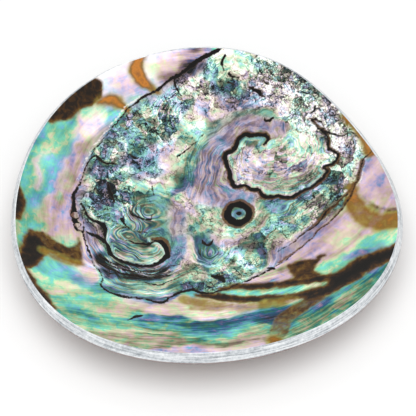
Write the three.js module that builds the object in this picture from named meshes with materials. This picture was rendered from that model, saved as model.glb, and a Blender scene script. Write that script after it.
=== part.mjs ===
// A red abalone shell, trimmed to an even outline, ground round its rim and polished inside: one shallow
// dish of nacre on its natural outer layer. Millimetres, +Z up. The origin is the middle of the worn spot
// on the underside that the shell rests on. +X runs along the longest side, and +Y away from the person
// who looks into the dish.

import * as THREE from "three";
import { ParametricGeometry } from "three/addons/geometries/ParametricGeometry.js";

const degrees = THREE.MathUtils.degToRad;
const { smoothstep } = THREE.MathUtils;

// ---- Driving dimensions ----

// Plan of the inner edge of the rim: a circle pushed out of round by four lobed waves.
const MEAN_RADIUS = 72;
const OUTLINE_WAVES = [
  { lobes: 2, height: 1.4, turn: degrees(-12) },
  { lobes: 3, height: 2.6, turn: degrees(-24) },
  { lobes: 4, height: 0.8, turn: degrees(-25) },
  { lobes: 5, height: 0.5, turn: degrees(-6) },
];

// The hollow: how far the inner floor lies below the rim, and how quickly the wall steepens outwards.
const HOLLOW_DEPTH = 22;
const HOLLOW_POWER = 2.1;

// The wall: thickest in the middle, where the underside is worn flat, and heavier on one side of the rim.
const FLOOR_THICKNESS = 5;
const WORN_DEPTH = 0.5;
const RIM_THICKNESS = 3.8;
const RIM_THICKNESS_VARIES = 0.22;
const HEAVY_SIDE = degrees(-60);
const THINNING_POWER = 1.5;

// The ground rim: a flat face across the wall, its two edges rounded by polishing.
const RIM_BULGE = 0.5;
const RIM_SQUARENESS = 0.5;

// Growth folds on the underside, in arcs about the hatching point, which lay just off the trimmed shell.
const HATCHING_POINT = new THREE.Vector2(52, 60);
const FOLD_SPACING = 13;
const FOLD_HEIGHT = 0.5;
const FOLDS_START = [0.3, 0.5];
const FOLDS_END = [0.86, 0.98];

// How finely the surfaces are divided.
const ROUND_STEPS = 120;
const WALL_STEPS = 14;
const RIM_STEPS = 6;

// ---- The shell's form, by angle round the dish and by share of the way out to the rim ----

function rimRadius(angle) {
  return OUTLINE_WAVES.reduce(
    (radius, wave) => radius + wave.height * Math.cos(wave.lobes * (angle - wave.turn)),
    MEAN_RADIUS,
  );
}

function wallThickness(angle, share) {
  const atRim = RIM_THICKNESS * (1 + RIM_THICKNESS_VARIES * Math.cos(angle - HEAVY_SIDE));
  return THREE.MathUtils.lerp(FLOOR_THICKNESS + WORN_DEPTH, atRim, share ** THINNING_POWER);
}

// A point of the inner surface in the upright section at that angle: x is outwards and y is up.
function innerPoint(angle, share) {
  return new THREE.Vector2(
    share * rimRadius(angle),
    FLOOR_THICKNESS + HOLLOW_DEPTH * share ** HOLLOW_POWER,
  );
}

// The direction of the wall in that section, outwards and up.
function wallDirection(angle, share) {
  const rise = HOLLOW_DEPTH * HOLLOW_POWER * share ** (HOLLOW_POWER - 1);
  return new THREE.Vector2(rimRadius(angle), rise).normalize();
}

function foldHeight(angle, share) {
  const across = share * rimRadius(angle);
  const place = new THREE.Vector2(across * Math.cos(angle), across * Math.sin(angle));
  const wave = Math.cos((2 * Math.PI * place.distanceTo(HATCHING_POINT)) / FOLD_SPACING);
  return FOLD_HEIGHT * wave * smoothstep(share, ...FOLDS_START) * (1 - smoothstep(share, ...FOLDS_END));
}

// A point of the underside: the inner point moved through the wall, and worn flat where the shell rests.
function outerPoint(angle, share) {
  const along = wallDirection(angle, share);
  const down = new THREE.Vector2(along.y, -along.x);
  const depth = wallThickness(angle, share) + foldHeight(angle, share);
  const point = innerPoint(angle, share).addScaledVector(down, depth);
  point.y = Math.max(point.y, 0);
  return point;
}

// A point of the ground rim: turn runs from 0 at the outer edge to pi at the inner edge.
function rimPoint(angle, turn) {
  const cosine = Math.cos(turn);
  const across = (1 - Math.sign(cosine) * Math.abs(cosine) ** RIM_SQUARENESS) / 2;
  const bulge = RIM_BULGE * Math.sin(turn) ** RIM_SQUARENESS;
  return outerPoint(angle, 1)
    .lerp(innerPoint(angle, 1), across)
    .addScaledVector(wallDirection(angle, 1), bulge);
}

// The whole section at one angle: out along the underside, over the rim and back down the inside.
function sectionPoint(angle, station) {
  if (station <= WALL_STEPS) return outerPoint(angle, station / WALL_STEPS);
  const pastWall = station - WALL_STEPS;
  if (pastWall < RIM_STEPS) return rimPoint(angle, (Math.PI * pastWall) / RIM_STEPS);
  return innerPoint(angle, 1 - (pastWall - RIM_STEPS) / WALL_STEPS);
}

// ---- The solid ----

function makeShell() {
  const stations = 2 * WALL_STEPS + RIM_STEPS;
  const surface = (round, along, target) => {
    const angle = 2 * Math.PI * round;
    const point = sectionPoint(angle, Math.round(along * stations));
    target.set(point.x * Math.cos(angle), point.x * Math.sin(angle), point.y);
  };
  const material = new THREE.MeshStandardMaterial({ color: 0x9cb8ae, roughness: 0.25, metalness: 0.1 });
  const shell = new THREE.Mesh(new ParametricGeometry(surface, ROUND_STEPS, stations), material);
  shell.name = "shell";
  return shell;
}

const abalone = new THREE.Group();
abalone.add(makeShell());

export default abalone;
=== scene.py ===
# %% [markdown]
# # A polished abalone shell
#
# The real object is one shell of a red abalone. It lies on its rounded back with the hollow up. Its
# outline was trimmed, its rim was ground square, and its inside was polished down to the
# mother-of-pearl.
#
# Three surfaces make up its look: the mother-of-pearl inside, the ground rim that shows the wall in
# section, and the rough outer layer underneath. They are one continuous skin with three materials,
# because a shell has no seams.

import bpy
import numpy as np
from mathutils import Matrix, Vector


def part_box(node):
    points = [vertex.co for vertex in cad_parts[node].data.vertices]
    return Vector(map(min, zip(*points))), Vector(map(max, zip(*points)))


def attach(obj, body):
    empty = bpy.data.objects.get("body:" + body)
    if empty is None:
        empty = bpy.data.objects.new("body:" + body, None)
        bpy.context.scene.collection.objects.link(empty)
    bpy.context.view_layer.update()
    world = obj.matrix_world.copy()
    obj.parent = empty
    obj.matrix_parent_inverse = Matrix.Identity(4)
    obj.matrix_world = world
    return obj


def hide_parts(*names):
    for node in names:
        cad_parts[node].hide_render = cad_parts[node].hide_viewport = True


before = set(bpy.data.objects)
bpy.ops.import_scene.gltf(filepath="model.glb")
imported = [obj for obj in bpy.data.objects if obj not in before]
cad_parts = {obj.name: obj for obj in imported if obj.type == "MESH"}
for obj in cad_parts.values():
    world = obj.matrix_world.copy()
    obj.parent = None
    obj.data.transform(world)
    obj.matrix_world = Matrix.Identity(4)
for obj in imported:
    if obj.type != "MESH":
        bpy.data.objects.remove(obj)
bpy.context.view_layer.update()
shell_low, shell_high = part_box("shell")
size_in_mm = [round(v * 1000, 1) for v in shell_high - shell_low]
print("frame holds", sorted(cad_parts), "size in mm", size_in_mm)

# %% [markdown]
# ## Two helpers
#
# Paints are written as sRGB hex, the way that a paint chart gives them, and one function turns them to
# the linear values that shaders need. Another small function adds a node with its settings and its
# links, so that each material below reads as a list of what feeds what.

# %% Colour and node helpers
def linear(paint):
    """The linear RGBA of a paint written as sRGB hex."""
    channels = [int(paint[i : i + 2], 16) / 255 for i in (1, 3, 5)]
    return [c / 12.92 if c <= 0.04045 else ((c + 0.055) / 1.055) ** 2.4 for c in channels] + [1.0]


def add(tree, kind, inputs=None, stops=None, **settings):
    """Adds a node. inputs maps a socket's name or number to a value, a node or a socket that feeds it."""
    made = tree.nodes.new(kind)
    for name, value in settings.items():
        setattr(made, name, value)
    for i, (place, paint) in enumerate(stops or []):
        ramp = made.color_ramp.elements
        stop = ramp[0] if i == 0 else ramp[-1] if i == len(stops) - 1 else ramp.new(place)
        stop.position = place
        stop.color = linear(paint)
    for key, value in (inputs or {}).items():
        socket = made.inputs[key] if isinstance(key, int) else next(
            s for s in made.inputs if s.enabled and s.name == key
        )
        if isinstance(value, bpy.types.Node):
            value = next(s for s in value.outputs if s.enabled)
        if isinstance(value, bpy.types.NodeSocket):
            tree.links.new(value, socket)
        else:
            socket.default_value = value
    return made


print("mid grey #808080 is", round(linear("#808080")[0], 3), "in linear light")

# %% [markdown]
# ## Camera
#
# The camera looks down into the dish from the front, steeply enough to show the whole hollow and
# shallowly enough to show the ground rim on the near side. A long lens keeps the outline close to its
# plan shape.

# %% Place the camera
def look(thing, target):
    """Turns a camera or a lamp at its place so that it points at the target."""
    thing.rotation_euler = (Vector(target) - thing.location).to_track_quat("-Z", "Y").to_euler()


# Every size below is drawn in millimetres of a shell this wide, and MM takes it to the frame's size.
DRAWN_WIDTH = 151.754
MM = (shell_high.x - shell_low.x) / DRAWN_WIDTH

CAMERA_RISE = np.radians(58)
CAMERA_DISTANCE = 462
CAMERA_TARGET = np.array([2.2, 1.0, 14.0])

lens = bpy.data.cameras.new("camera")
lens.lens = 100
lens.sensor_width = 36
camera = bpy.data.objects.new("camera", lens)
bpy.context.scene.collection.objects.link(camera)
away = np.array([0, -np.cos(CAMERA_RISE), np.sin(CAMERA_RISE)])
camera.location = MM * (CAMERA_TARGET + CAMERA_DISTANCE * away)
look(camera, MM * CAMERA_TARGET)
bpy.context.scene.camera = camera
print("camera stands", [round(v, 3) for v in camera.location])

# %% [markdown]
# ## Floor
#
# The shell lies on a matt white table. One flat square is enough for it, and it is made far wider than
# the shell, so that its edge never shows. A hair's breadth is left under the shell, so that the two
# don't share a surface.

# %% Make the floor
FLOOR_WIDTH = 1800
FLOOR_GAP = 0.02
bpy.ops.mesh.primitive_plane_add(size=FLOOR_WIDTH * MM, location=(0, 0, shell_low.z - FLOOR_GAP * MM))
floor = bpy.context.object
floor.name = "floor"

# Matt white paint, rolled on: it scatters nearly all light and mirrors next to none.
table_white = bpy.data.materials.new("matt_white_table")
table_white.use_nodes = True
table_shader = table_white.node_tree.nodes["Principled BSDF"]
table_shader.inputs["Base Color"].default_value = linear("#f6f7f7")
table_shader.inputs["Roughness"].default_value = 0.9
table_shader.inputs["Specular IOR Level"].default_value = 0.1
floor.data.materials.append(table_white)
print("table", FLOOR_WIDTH, "mm wide")

# %% [markdown]
# ## Light
#
# A bright white room gives about half of the light, from all sides. One broad soft lamp high over the
# front gives the rest, so the shadow is short, soft and close to the rim. A polished dish mirrors its
# lamp, and a mirrored lamp this broad would veil the colours, so it is left out of reflections.

# %% Light the room and hang the lamp
ROOM_STRENGTH = 0.72
LAMP_PLACE = np.array([0, -150, 640])
LAMP_TARGET = np.array([0, 0, 10])
LAMP_WIDTH = 400
LAMP_WATTS = 2.35

world = bpy.data.worlds.new("studio")
world.use_nodes = True
world.node_tree.nodes["Background"].inputs["Color"].default_value = linear("#ffffff")
world.node_tree.nodes["Background"].inputs["Strength"].default_value = ROOM_STRENGTH
bpy.context.scene.world = world
bpy.context.scene.view_settings.view_transform = "Standard"

lamp = bpy.data.lights.new("front_lamp", "AREA")
lamp.size = LAMP_WIDTH * MM
lamp.energy = LAMP_WATTS
lamp_stand = bpy.data.objects.new("front_lamp", lamp)
lamp_stand.location = MM * LAMP_PLACE
look(lamp_stand, MM * LAMP_TARGET)
lamp_stand.visible_glossy = False
bpy.context.scene.collection.objects.link(lamp_stand)
print("lamp", LAMP_WIDTH, "mm wide,", LAMP_PLACE[2], "mm above the table")

# %% [markdown]
# ## The shell's form
#
# The outline is a circle pushed out of round by four lobed waves, and the wall is a shallow bowl that
# steepens outwards. The same few numbers drive the solid underneath, so this skin lies on it. Working
# with arrays of angles and of shares of the way out to the rim gives every point of a surface at once.

# %% Outline, section and wall
MEAN_RADIUS = 72
# How many lobes each wave of the outline has, how high it is in mm and how far it is turned in degrees.
OUTLINE_WAVES = [(2, 1.4, -12), (3, 2.6, -24), (4, 0.8, -25), (5, 0.5, -6)]
HOLLOW_DEPTH = 22.0
HOLLOW_POWER = 2.1
FLOOR_THICKNESS = 5.0
WORN_DEPTH = 0.5
RIM_THICKNESS = 3.8
RIM_THICKNESS_VARIES = 0.22
HEAVY_SIDE = np.radians(-60)
THINNING_POWER = 1.5


def rim_radius(angle):
    """Plan radius of the inner edge of the rim, in mm."""
    return MEAN_RADIUS + sum(
        height * np.cos(lobes * (angle - np.radians(turn))) for lobes, height, turn in OUTLINE_WAVES
    )


def wall_thickness(angle, share):
    """Thickness of the wall: thick in the middle, and heavier on the near side of the rim."""
    at_rim = RIM_THICKNESS * (1 + RIM_THICKNESS_VARIES * np.cos(angle - HEAVY_SIDE))
    middle = FLOOR_THICKNESS + WORN_DEPTH
    return middle + (at_rim - middle) * share**THINNING_POWER


def inner_point(angle, share):
    """Distance out and height of the inner surface."""
    return share * rim_radius(angle), FLOOR_THICKNESS + HOLLOW_DEPTH * share**HOLLOW_POWER


def wall_direction(angle, share):
    """The way that the wall runs, outwards and up, as a unit vector in the section."""
    rise = HOLLOW_DEPTH * HOLLOW_POWER * share ** (HOLLOW_POWER - 1)
    length = np.hypot(rim_radius(angle), rise)
    return rim_radius(angle) / length, rise / length


def round_the_dish(angle, out, height):
    """Places in mm from angles, distances out and heights."""
    return np.stack([out * np.cos(angle), out * np.sin(angle), height + 0 * angle], axis=-1)


inside_width = rim_radius(0) + rim_radius(np.pi)
print("hollow", round(inside_width, 1), "mm across and", HOLLOW_DEPTH, "mm deep")

# %% [markdown]
# ## An even grid for a disc
#
# A dish made of rings and spokes has slivers in the middle and coarse cells at the rim. Bending a
# square grid into a disc keeps all its cells about the same size, half a millimetre here, so fine
# relief can go anywhere.

# %% Bend a square grid into a disc
def disc_grid(cells):
    """Angles, shares of the way out, faces and the ring of rim points of a disc of cells by cells faces."""
    side = np.linspace(-1, 1, cells + 1)
    a, b = np.meshgrid(side, side, indexing="ij")
    wide = np.abs(a) >= np.abs(b)
    share = np.where(wide, np.abs(a), np.abs(b))
    safe_a = np.where(a == 0, 1, a)
    safe_b = np.where(b == 0, 1, b)
    angle = np.where(wide, np.pi / 4 * b / safe_a, np.pi / 2 - np.pi / 4 * a / safe_b)
    angle = angle + np.where(np.where(wide, a, b) < 0, np.pi, 0)
    index = np.arange((cells + 1) ** 2).reshape(cells + 1, cells + 1)
    corners = [index[:-1, :-1], index[1:, :-1], index[1:, 1:], index[:-1, 1:]]
    faces = np.stack(corners, axis=-1).reshape(-1, 4)
    sides = [index[-1, :-1], index[::-1, -1][:-1], index[0, ::-1][:-1], index[:, 0][:-1]]
    return angle.ravel(), share.ravel(), faces, np.concatenate(sides)


INNER_CELLS = 256
OUTER_CELLS = 128
inner_angle, inner_share, inner_faces, inner_ring = disc_grid(INNER_CELLS)
print("inner surface", len(inner_faces), "faces, rim ring", len(inner_ring), "points")

# %% [markdown]
# ## Drawing on the shell
#
# An abalone lays its nacre down round everything that disturbs it, so the markings are lines and
# patches of many shapes: the edge of the muscle scar, islands ringed by old skin, streaks of skin in the
# margin. Each one is a smooth line through a few listed points, in mm in plan, and what the material
# needs from it is how far away it is. Distances stay sharp however close the view, which a painted
# picture would not.

# %% Smooth lines and distances from them
FAR = 99.0


def smooth_line(points, closed=False, steps=6):
    """Places along a smooth curve through the points. Extra columns, such as a width, are carried along."""
    p = np.array(points, float)
    if closed:
        p = np.vstack([p[-1], p, p[:2]])
    else:
        p = np.vstack([2 * p[0] - p[1], p, 2 * p[-1] - p[-2]])
    t = np.linspace(0, 1, steps, endpoint=False)[:, None]
    parts = []
    for a, b, c, d in zip(p, p[1:], p[2:], p[3:]):
        bow = (2 * a - 5 * b + 4 * c - d) * t**2
        twist = (3 * b - a - 3 * c + d) * t**3
        parts.append(0.5 * (2 * b + (c - a) * t + bow + twist))
    return np.vstack(parts + [p[-2:-1]])


def nearest_on(line, x, y, reach=np.inf):
    """Distance from each place to the line, and the line's third column there. Past reach it is FAR."""
    distance = np.full(x.shape, FAR)
    carried = np.zeros(x.shape)
    close = (x > line[:, 0].min() - reach) & (x < line[:, 0].max() + reach)
    close &= (y > line[:, 1].min() - reach) & (y < line[:, 1].max() + reach)
    px, py = x[close], y[close]
    best = np.full(px.shape, FAR)
    value = np.zeros(px.shape)
    for a, b in zip(line, line[1:]):
        run = b[:2] - a[:2]
        along = ((px - a[0]) * run[0] + (py - a[1]) * run[1]) / max(run @ run, 1e-9)
        along = np.clip(along, 0, 1)
        gap = np.hypot(px - a[0] - along * run[0], py - a[1] - along * run[1])
        better = gap < best
        best[better] = gap[better]
        if line.shape[1] > 2:
            value[better] = (a[2] + along * (b[2] - a[2]))[better]
    distance[close] = best
    carried[close] = value
    return distance, carried


def inside(line, x, y):
    """Whether each place is inside a closed line."""
    within = np.zeros(x.shape, bool)
    for (x1, y1), (x2, y2) in zip(line[:, :2], np.roll(line[:, :2], -1, axis=0)):
        if y1 != y2:
            within ^= ((y1 > y) != (y2 > y)) & (x < (x2 - x1) * (y - y1) / (y2 - y1) + x1)
    return within


print("a smooth line through 3 points has", len(smooth_line([(0, 0), (1, 1), (2, 0)])), "places")

# %% [markdown]
# Grown things waver, so the drawing needs soft random hills. A square of random heights, eased from
# each to the next, is enough, and a seed makes the same hills each time.

# %% Soft hills and easing
HILLS = 64


def hills(x, y, size, seed):
    """Smooth random hills about size mm apart, from -1 to 1."""
    heights = np.random.default_rng(seed).uniform(-1, 1, (HILLS, HILLS))
    u, v = x / size + 10 * HILLS, y / size + 10 * HILLS
    i, j = np.floor(u).astype(int), np.floor(v).astype(int)
    s, t = u - i, v - j
    s, t = s * s * (3 - 2 * s), t * t * (3 - 2 * t)
    i, j, next_i, next_j = i % HILLS, j % HILLS, (i + 1) % HILLS, (j + 1) % HILLS
    near = heights[i, j] * (1 - s) + heights[next_i, j] * s
    far = heights[i, next_j] * (1 - s) + heights[next_i, next_j] * s
    return near * (1 - t) + far * t


def ease(value, start, end):
    """0 before start, 1 after end, and a smooth rise between."""
    t = np.clip((value - start) / (end - start), 0, 1)
    return t * t * (3 - 2 * t)


print("a quarter of the way, a rise is eased to", float(ease(0.25, 0, 1)))

# %% [markdown]
# ## The places to draw on
#
# A drawn line is too clean for something that grew. Shifting every place by small hills before
# measuring its distance makes each line waver the same way that its neighbours do, as growth lines do.

# %% Plan places of the inner surface, and the same places shifted
# Height and size in mm of the hills that shift the lines, and of the larger ones for the washes.
LINE_WAVES = [(0.45, 3.1), (0.2, 1.4)]
WASH_WAVES = [(2.4, 9), (1.2, 4)]
inner_out, _ = inner_point(inner_angle, inner_share)
plan_x = inner_out * np.cos(inner_angle)
plan_y = inner_out * np.sin(inner_angle)


def shifted(start, waves, seed):
    """start, shifted at each place by hills of these heights and sizes."""
    for i, (height, size) in enumerate(waves):
        start = start + height * hills(plan_x, plan_y, size, seed + i)
    return start


line_x, line_y = shifted(plan_x, LINE_WAVES, 1), shifted(plan_y, LINE_WAVES, 3)
wash_x, wash_y = shifted(line_x, WASH_WAVES, 5), shifted(line_y, WASH_WAVES, 7)
print("lines are shifted by up to", round(float(np.abs(line_x - plan_x).max()), 2), "mm")

# %% [markdown]
# ## The muscle scar
#
# The foot of the animal was fixed to the middle of the shell by one big muscle. Where it held on, the
# nacre is crumpled and full of small swirls, inside a thin dark edge. The edge is one closed line: it
# follows the rim at the far right, where the scar runs out to it.

# %% Draw the edge of the scar
# x, y and half of the line's width, all in mm.
SCAR_EDGE = [
    (3, 70.5, 0.8), (-9, 63.5, 0.7), (-20, 56, 0.5), (-31, 47.5, 0.3), (-38, 37.5, 0.25), (-45.5, 25, 0.3),
    (-49.5, 12, 0.3), (-51.5, 4, 0.7), (-51, -4, 1.0), (-49.7, -9.5, 0.6), (-47.2, -11, 0.2),
    (-44.5, -19.5, 0.2), (-40, -28, 0.25), (-38.2, -31, 0.3), (-38.2, -35, 0.35), (-33, -38.3, 0.4),
    (-28.5, -39.3, 0.4), (-24, -39.3, 0.3), (-15, -41, 0.5), (-12.3, -37.5, 0.4), (-4, -33.5, 0.7),
    (0, -35.5, 0.5), (7, -34.5, 0.3), (14, -31.3, 0.3), (24, -26.5, 0.35), (32, -21, 0.1), (40, -15, 0.08),
    (46, -9, 0.12), (51, -5, 0.2), (56, -0.5, 0.15), (61, 8.5, 0.2), (64, 17, 0.3), (68, 20, 0.1),
    (72, 30, 0.1), (60, 50, 0.1), (40, 68, 0.1), (20, 76, 0.1),
]
scar_line = smooth_line(SCAR_EDGE, closed=True)
edge_gap, edge_half = nearest_on(scar_line, line_x, line_y)
in_scar = inside(scar_line, line_x, line_y)
scar = np.where(in_scar, edge_gap, -edge_gap)
print("scar covers", round(100 * in_scar.mean()), "% of the inside")

# %% [markdown]
# ## Lines of old skin
#
# Between the sheets of nacre lie films of dark brown skin. Where polishing cut through one, it shows as
# a brown and black line: thick round the island, a ring round the eye, thin elsewhere. Each is a list
# of points with half of the line's width, and the depth of ink at a place is how far it is inside the
# nearest one. The thick ones have a brown fringe on their outer side, where the skin runs on under
# clear nacre.

# %% Draw the rims of the island and the lobe
# x, y and half of the line's width, all in mm.
ISLAND = [
    (25.3, 32.8, 0.7), (27.6, 34.8, 1.0), (25.5, 37, 1.0), (21, 37.5, 1.1), (17.8, 38.4, 1.2),
    (15, 36, 1.1), (13.8, 33, 1.1), (10.3, 31, 1.1), (9.4, 28, 1.2), (10.8, 24.5, 1.1), (11.3, 19.5, 1.2),
    (13.8, 15.6, 1.1), (17, 16, 0.9), (20.2, 13.9, 1.0), (23, 13.4, 1.0), (25.6, 10.3, 1.1), (30, 9.3, 1.0),
    (36.5, 8.5, 1.0), (41.5, 10.4, 0.9), (47, 12.8, 0.9), (50.3, 16.3, 0.7), (49.4, 18.4, 0.6),
    (53, 19.3, 0.7), (54.5, 22.5, 0.8), (51.2, 25.6, 0.6), (51, 30, 0.8), (49.3, 33.6, 0.7),
    (46.8, 36.3, 0.35), (44.6, 39.8, 0.3),
]
LOBE = [
    (-48.4, 2.5, 0.3), (-45, -3, 0.6), (-40.5, -4.6, 0.9), (-38.8, -7, 0.8), (-38.6, -12, 0.5),
    (-36.8, -17.3, 0.9), (-34.5, -20.2, 0.6), (-28, -22.4, 0.8), (-22, -22.6, 0.7), (-17, -20.5, 0.8),
    (-14.2, -17.2, 1.2), (-14.6, -13.2, 1.1), (-17, -10.3, 0.9), (-20, -9.7, 0.4),
]
# The island's outline also bounds its brown fringe, and its black line is this share of that width.
RIM_OF_ISLAND = 0.74
print("island and lobe:", len(ISLAND), "and", len(LOBE), "points")

# %% [markdown]
# The scar has many shorter lines: small hooks and crescents where a sheet broke off, and long dark
# grain lines in the lip at the near left. Each is named for its place, so that it can be found again.

# %% Draw the other lines
INK_LINES = {
    "island": [(x, y, RIM_OF_ISLAND * half) for x, y, half in ISLAND],
    "lobe": LOBE,
    "island_branch": [
        (49.5, 33.5, 0.5), (54, 30.8, 0.35), (57, 29, 0.3), (60.5, 29.6, 0.3), (63, 26.5, 0.2),
    ],
    "mark_low_middle": [
        (-0.4, -8.8, 0.3), (0.2, -10.6, 0.6), (2, -11.3, 0.5), (3.6, -10.2, 0.4), (4, -8.8, 0.2),
    ],
    "crescent_by_blob": [(25.7, 44.9, 0.2), (26.4, 43.1, 0.5), (28, 42.4, 0.5), (29.7, 43.4, 0.3)],
    "crescent_top": [
        (18.7, 57.2, 0.3), (22, 56.2, 0.6), (24, 54.6, 0.7), (24.8, 53.2, 0.3), (29.5, 51.8, 0.1),
    ],
    "hook_right": [(46.4, 44.8, 0.4), (46, 43, 0.5), (44.3, 42.2, 0.3)],
    "tail_right": [(44.6, 40, 0.2), (47.5, 38.4, 0.35), (49.3, 36.5, 0.2), (49.4, 34.4, 0.2)],
    "drop_low": [(4, -26.5, 0.7), (6.8, -27.4, 1.2), (8.2, -29.6, 0.8)],
    "bit_low_right": [(25.6, -24.2, 0.5), (28, -24.3, 0.6)],
    "hook_top": [(-12.2, 61.6, 0.4), (-11.8, 58.5, 0.5), (-9.2, 54.8, 0.3)],
    "hook_left": [(-32.2, 44.6, 0.4), (-31.2, 42.6, 0.4), (-30.2, 41, 0.1)],
    "bay_top": [(9.4, 69.5, 0.5), (8.2, 67, 0.5), (9.2, 64.6, 0.2)],
    "bay_top_low": [(11, 63.4, 0.4), (13.2, 61.6, 0.4), (15.4, 62, 0.1)],
    "tick_top": [(10.8, 60, 0.4), (12.6, 58.7, 0.3)],
    "tick_top_right": [(25.4, 59, 0.3), (27, 57.6, 0.3), (29.3, 56.8, 0.2)],
    "wave_left": [
        (-45.4, 24.2, 0.4), (-43.4, 25.4, 0.4), (-40.5, 22.8, 0.5), (-37.5, 23.2, 0.4), (-35, 23.6, 0.3),
    ],
    "seam_middle": [(-10.6, 29.6, 0.3), (-8.4, 31, 0.3), (-3.5, 35.6, 0.1), (0.6, 39.6, 0.05)],
    "brown_under_blue": [(-30, 28.4, 0.4), (-28, 27.2, 0.6), (-25.8, 27.8, 0.3)],
    "dark_run_left": [(-38.6, 15, 0.3), (-37.6, 10, 0.8), (-35.4, 6, 0.3)],
    "bars_left": [(-20.9, 15.4, 0.4), (-20.4, 11.6, 0.3)],
    "swirl_heart": [
        (-29.6, 4, 0.1), (-28, 1.4, 0.4), (-24.5, 0.3, 0.4), (-21.4, 0.3, 0.5), (-20.6, 2.2, 0.2),
    ],
    "swirl_step": [(-32.5, -1, 0.8), (-31, -4, 0.3), (-27, -6.8, 0.2), (-22, -6, 0.2)],
    "lobe_step": [(-45.5, -10.5, 0.3), (-41, -11.2, 0.9), (-39, -13.5, 0.6)],
    "lobe_heart": [(-30.5, -11, 0.2), (-26, -12, 0.35), (-22, -11.6, 0.45), (-20, -10.6, 0.2)],
    "grain_upper": [
        (-40.5, -20.4, 0.5), (-35.5, -22.8, 0.45), (-30.5, -24.4, 0.3), (-22, -25.3, 0.25),
        (-15, -23.2, 0.2), (-9, -20.6, 0.1),
    ],
    "grain_middle": [
        (-38, -24, 0.2), (-32, -25.6, 0.3), (-25, -26.2, 0.25), (-18, -26.6, 0.2), (-12, -24.6, 0.1),
    ],
    "grain_lower": [
        (-41, -23, 0.3), (-35, -26.8, 0.4), (-27, -27.8, 0.5), (-20, -28.4, 0.4), (-13, -26.8, 0.2),
    ],
    "grain_last": [
        (-36.5, -28.4, 0.2), (-27, -29.8, 0.2), (-18, -32.2, 0.25), (-12.5, -29.8, 0.15), (-7, -26, 0.1),
    ],
    "slot_right_upper": [
        (29, -17.6, 0.1), (35.5, -13, 0.1), (40, -9.7, 0.15), (45.5, -5.8, 0.25), (48.5, -1.8, 0.3),
        (54, 1.6, 0.2), (58.5, 5.5, 0.1),
    ],
    "slot_left_inner": [
        (-48.5, 2, 0.2), (-47.3, -6, 0.2), (-45.8, -15, 0.2), (-42.3, -24, 0.25), (-38.3, -30.5, 0.3),
    ],
    "leaf_low_left": [(-27.6, -51.2, 0.2), (-25, -49.6, 0.7), (-22.6, -48.5, 0.3)],
}
print(len(INK_LINES), "lines of old skin")

# %% [markdown]
# Round things are drawn by a formula and not by points: the eye is a dark ring round a dark pupil, and
# the beads are small blisters of nacre on the scar's left edge, ringed by skin and clear inside.

# %% Draw the eye and the beads, and measure the ink
# The eye's middle, the radius of its ring, half of the ring's width and the pupil's radius, all in mm.
EYE = (14.4, 3.3)
EYE_RING = 4.4
EYE_RING_HALF = 1.35
PUPIL = 1.1
# x, y and radius of each bead's ring.
BEADS = [(-50.6, -3.4, 1.3), (-49.6, -7.6, 1.0)]
BEAD_RING_HALF = 0.45
# The depth, in mm, where there is no old skin near.
BARE = -9.0


def lay_line(depth, points, deepest=np.inf, reach=6):
    """Deepens a field where the line lies: by how far each place is inside its width, up to the deepest."""
    gap, half = nearest_on(smooth_line(points), line_x, line_y, reach)
    return np.maximum(depth, np.minimum(half - gap, deepest))


eye_gap = np.hypot(line_x - EYE[0], line_y - EYE[1])
ink = edge_half - edge_gap
for points in INK_LINES.values():
    ink = lay_line(ink, points)
ink = np.maximum(ink, EYE_RING_HALF - np.abs(eye_gap - EYE_RING))
ink = np.maximum(ink, PUPIL - eye_gap)
for x, y, radius in BEADS:
    bead_gap = np.hypot(line_x - x, line_y - y)
    ring = np.maximum(ink, BEAD_RING_HALF - np.abs(bead_gap - radius))
    ink = np.where(bead_gap < radius, -1, ring)
print("ink covers", round(100 * (ink > 0).mean(), 1), "% of the inside")

# %% [markdown]
# Brown skin shows through the nacre beside the thickest lines, so those lines get a wider, softer
# fringe: outside the island, round the eye, and along the stretches of the scar's edge where the skin
# runs on under the margin.

# %% Measure the brown fringe
FRINGE = 0.6
EYE_FRINGE_MORE = 0.5
FRINGED = [
    [(-20, -9.2, 0.6), (-16.4, -9.2, 1.2), (-13.6, -12.6, 1.2), (-13.4, -16.5, 0.8)],
    [(35, -13.4, 0.3), (43, -7, 0.5), (48.5, -1.9, 1.0), (54, 1.6, 0.7), (60, 8, 0.5)],
    [
        (30, -21.5, 0.5), (40, -14.9, 0.4), (46, -8.9, 0.45), (51, -4.9, 0.5), (56, -0.4, 0.6),
        (61, 8.6, 0.7), (64, 17, 1.2),
    ],
    [(-51.9, 4, 0.9), (-51.6, -4, 0.8), (-50, -9, 0.5)],
]

island_line = smooth_line(ISLAND)
island_gap, island_half = nearest_on(island_line, line_x, line_y)
in_island = inside(island_line, line_x, line_y)
lobe_line = smooth_line(LOBE)
lobe_gap, _ = nearest_on(lobe_line, line_x, line_y)
in_lobe = inside(lobe_line, line_x, line_y)

fringe = np.where(in_island, BARE, RIM_OF_ISLAND * island_half + FRINGE - island_gap)
round_eye = EYE_RING + EYE_RING_HALF + EYE_FRINGE_MORE + FRINGE - eye_gap
fringe = np.maximum(fringe, np.where(eye_gap > EYE_RING, round_eye, BARE))
for points in FRINGED:
    fringe = lay_line(fringe, points)
print(len(FRINGED), "stretches with a fringe, and the island's and the eye's")
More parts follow.
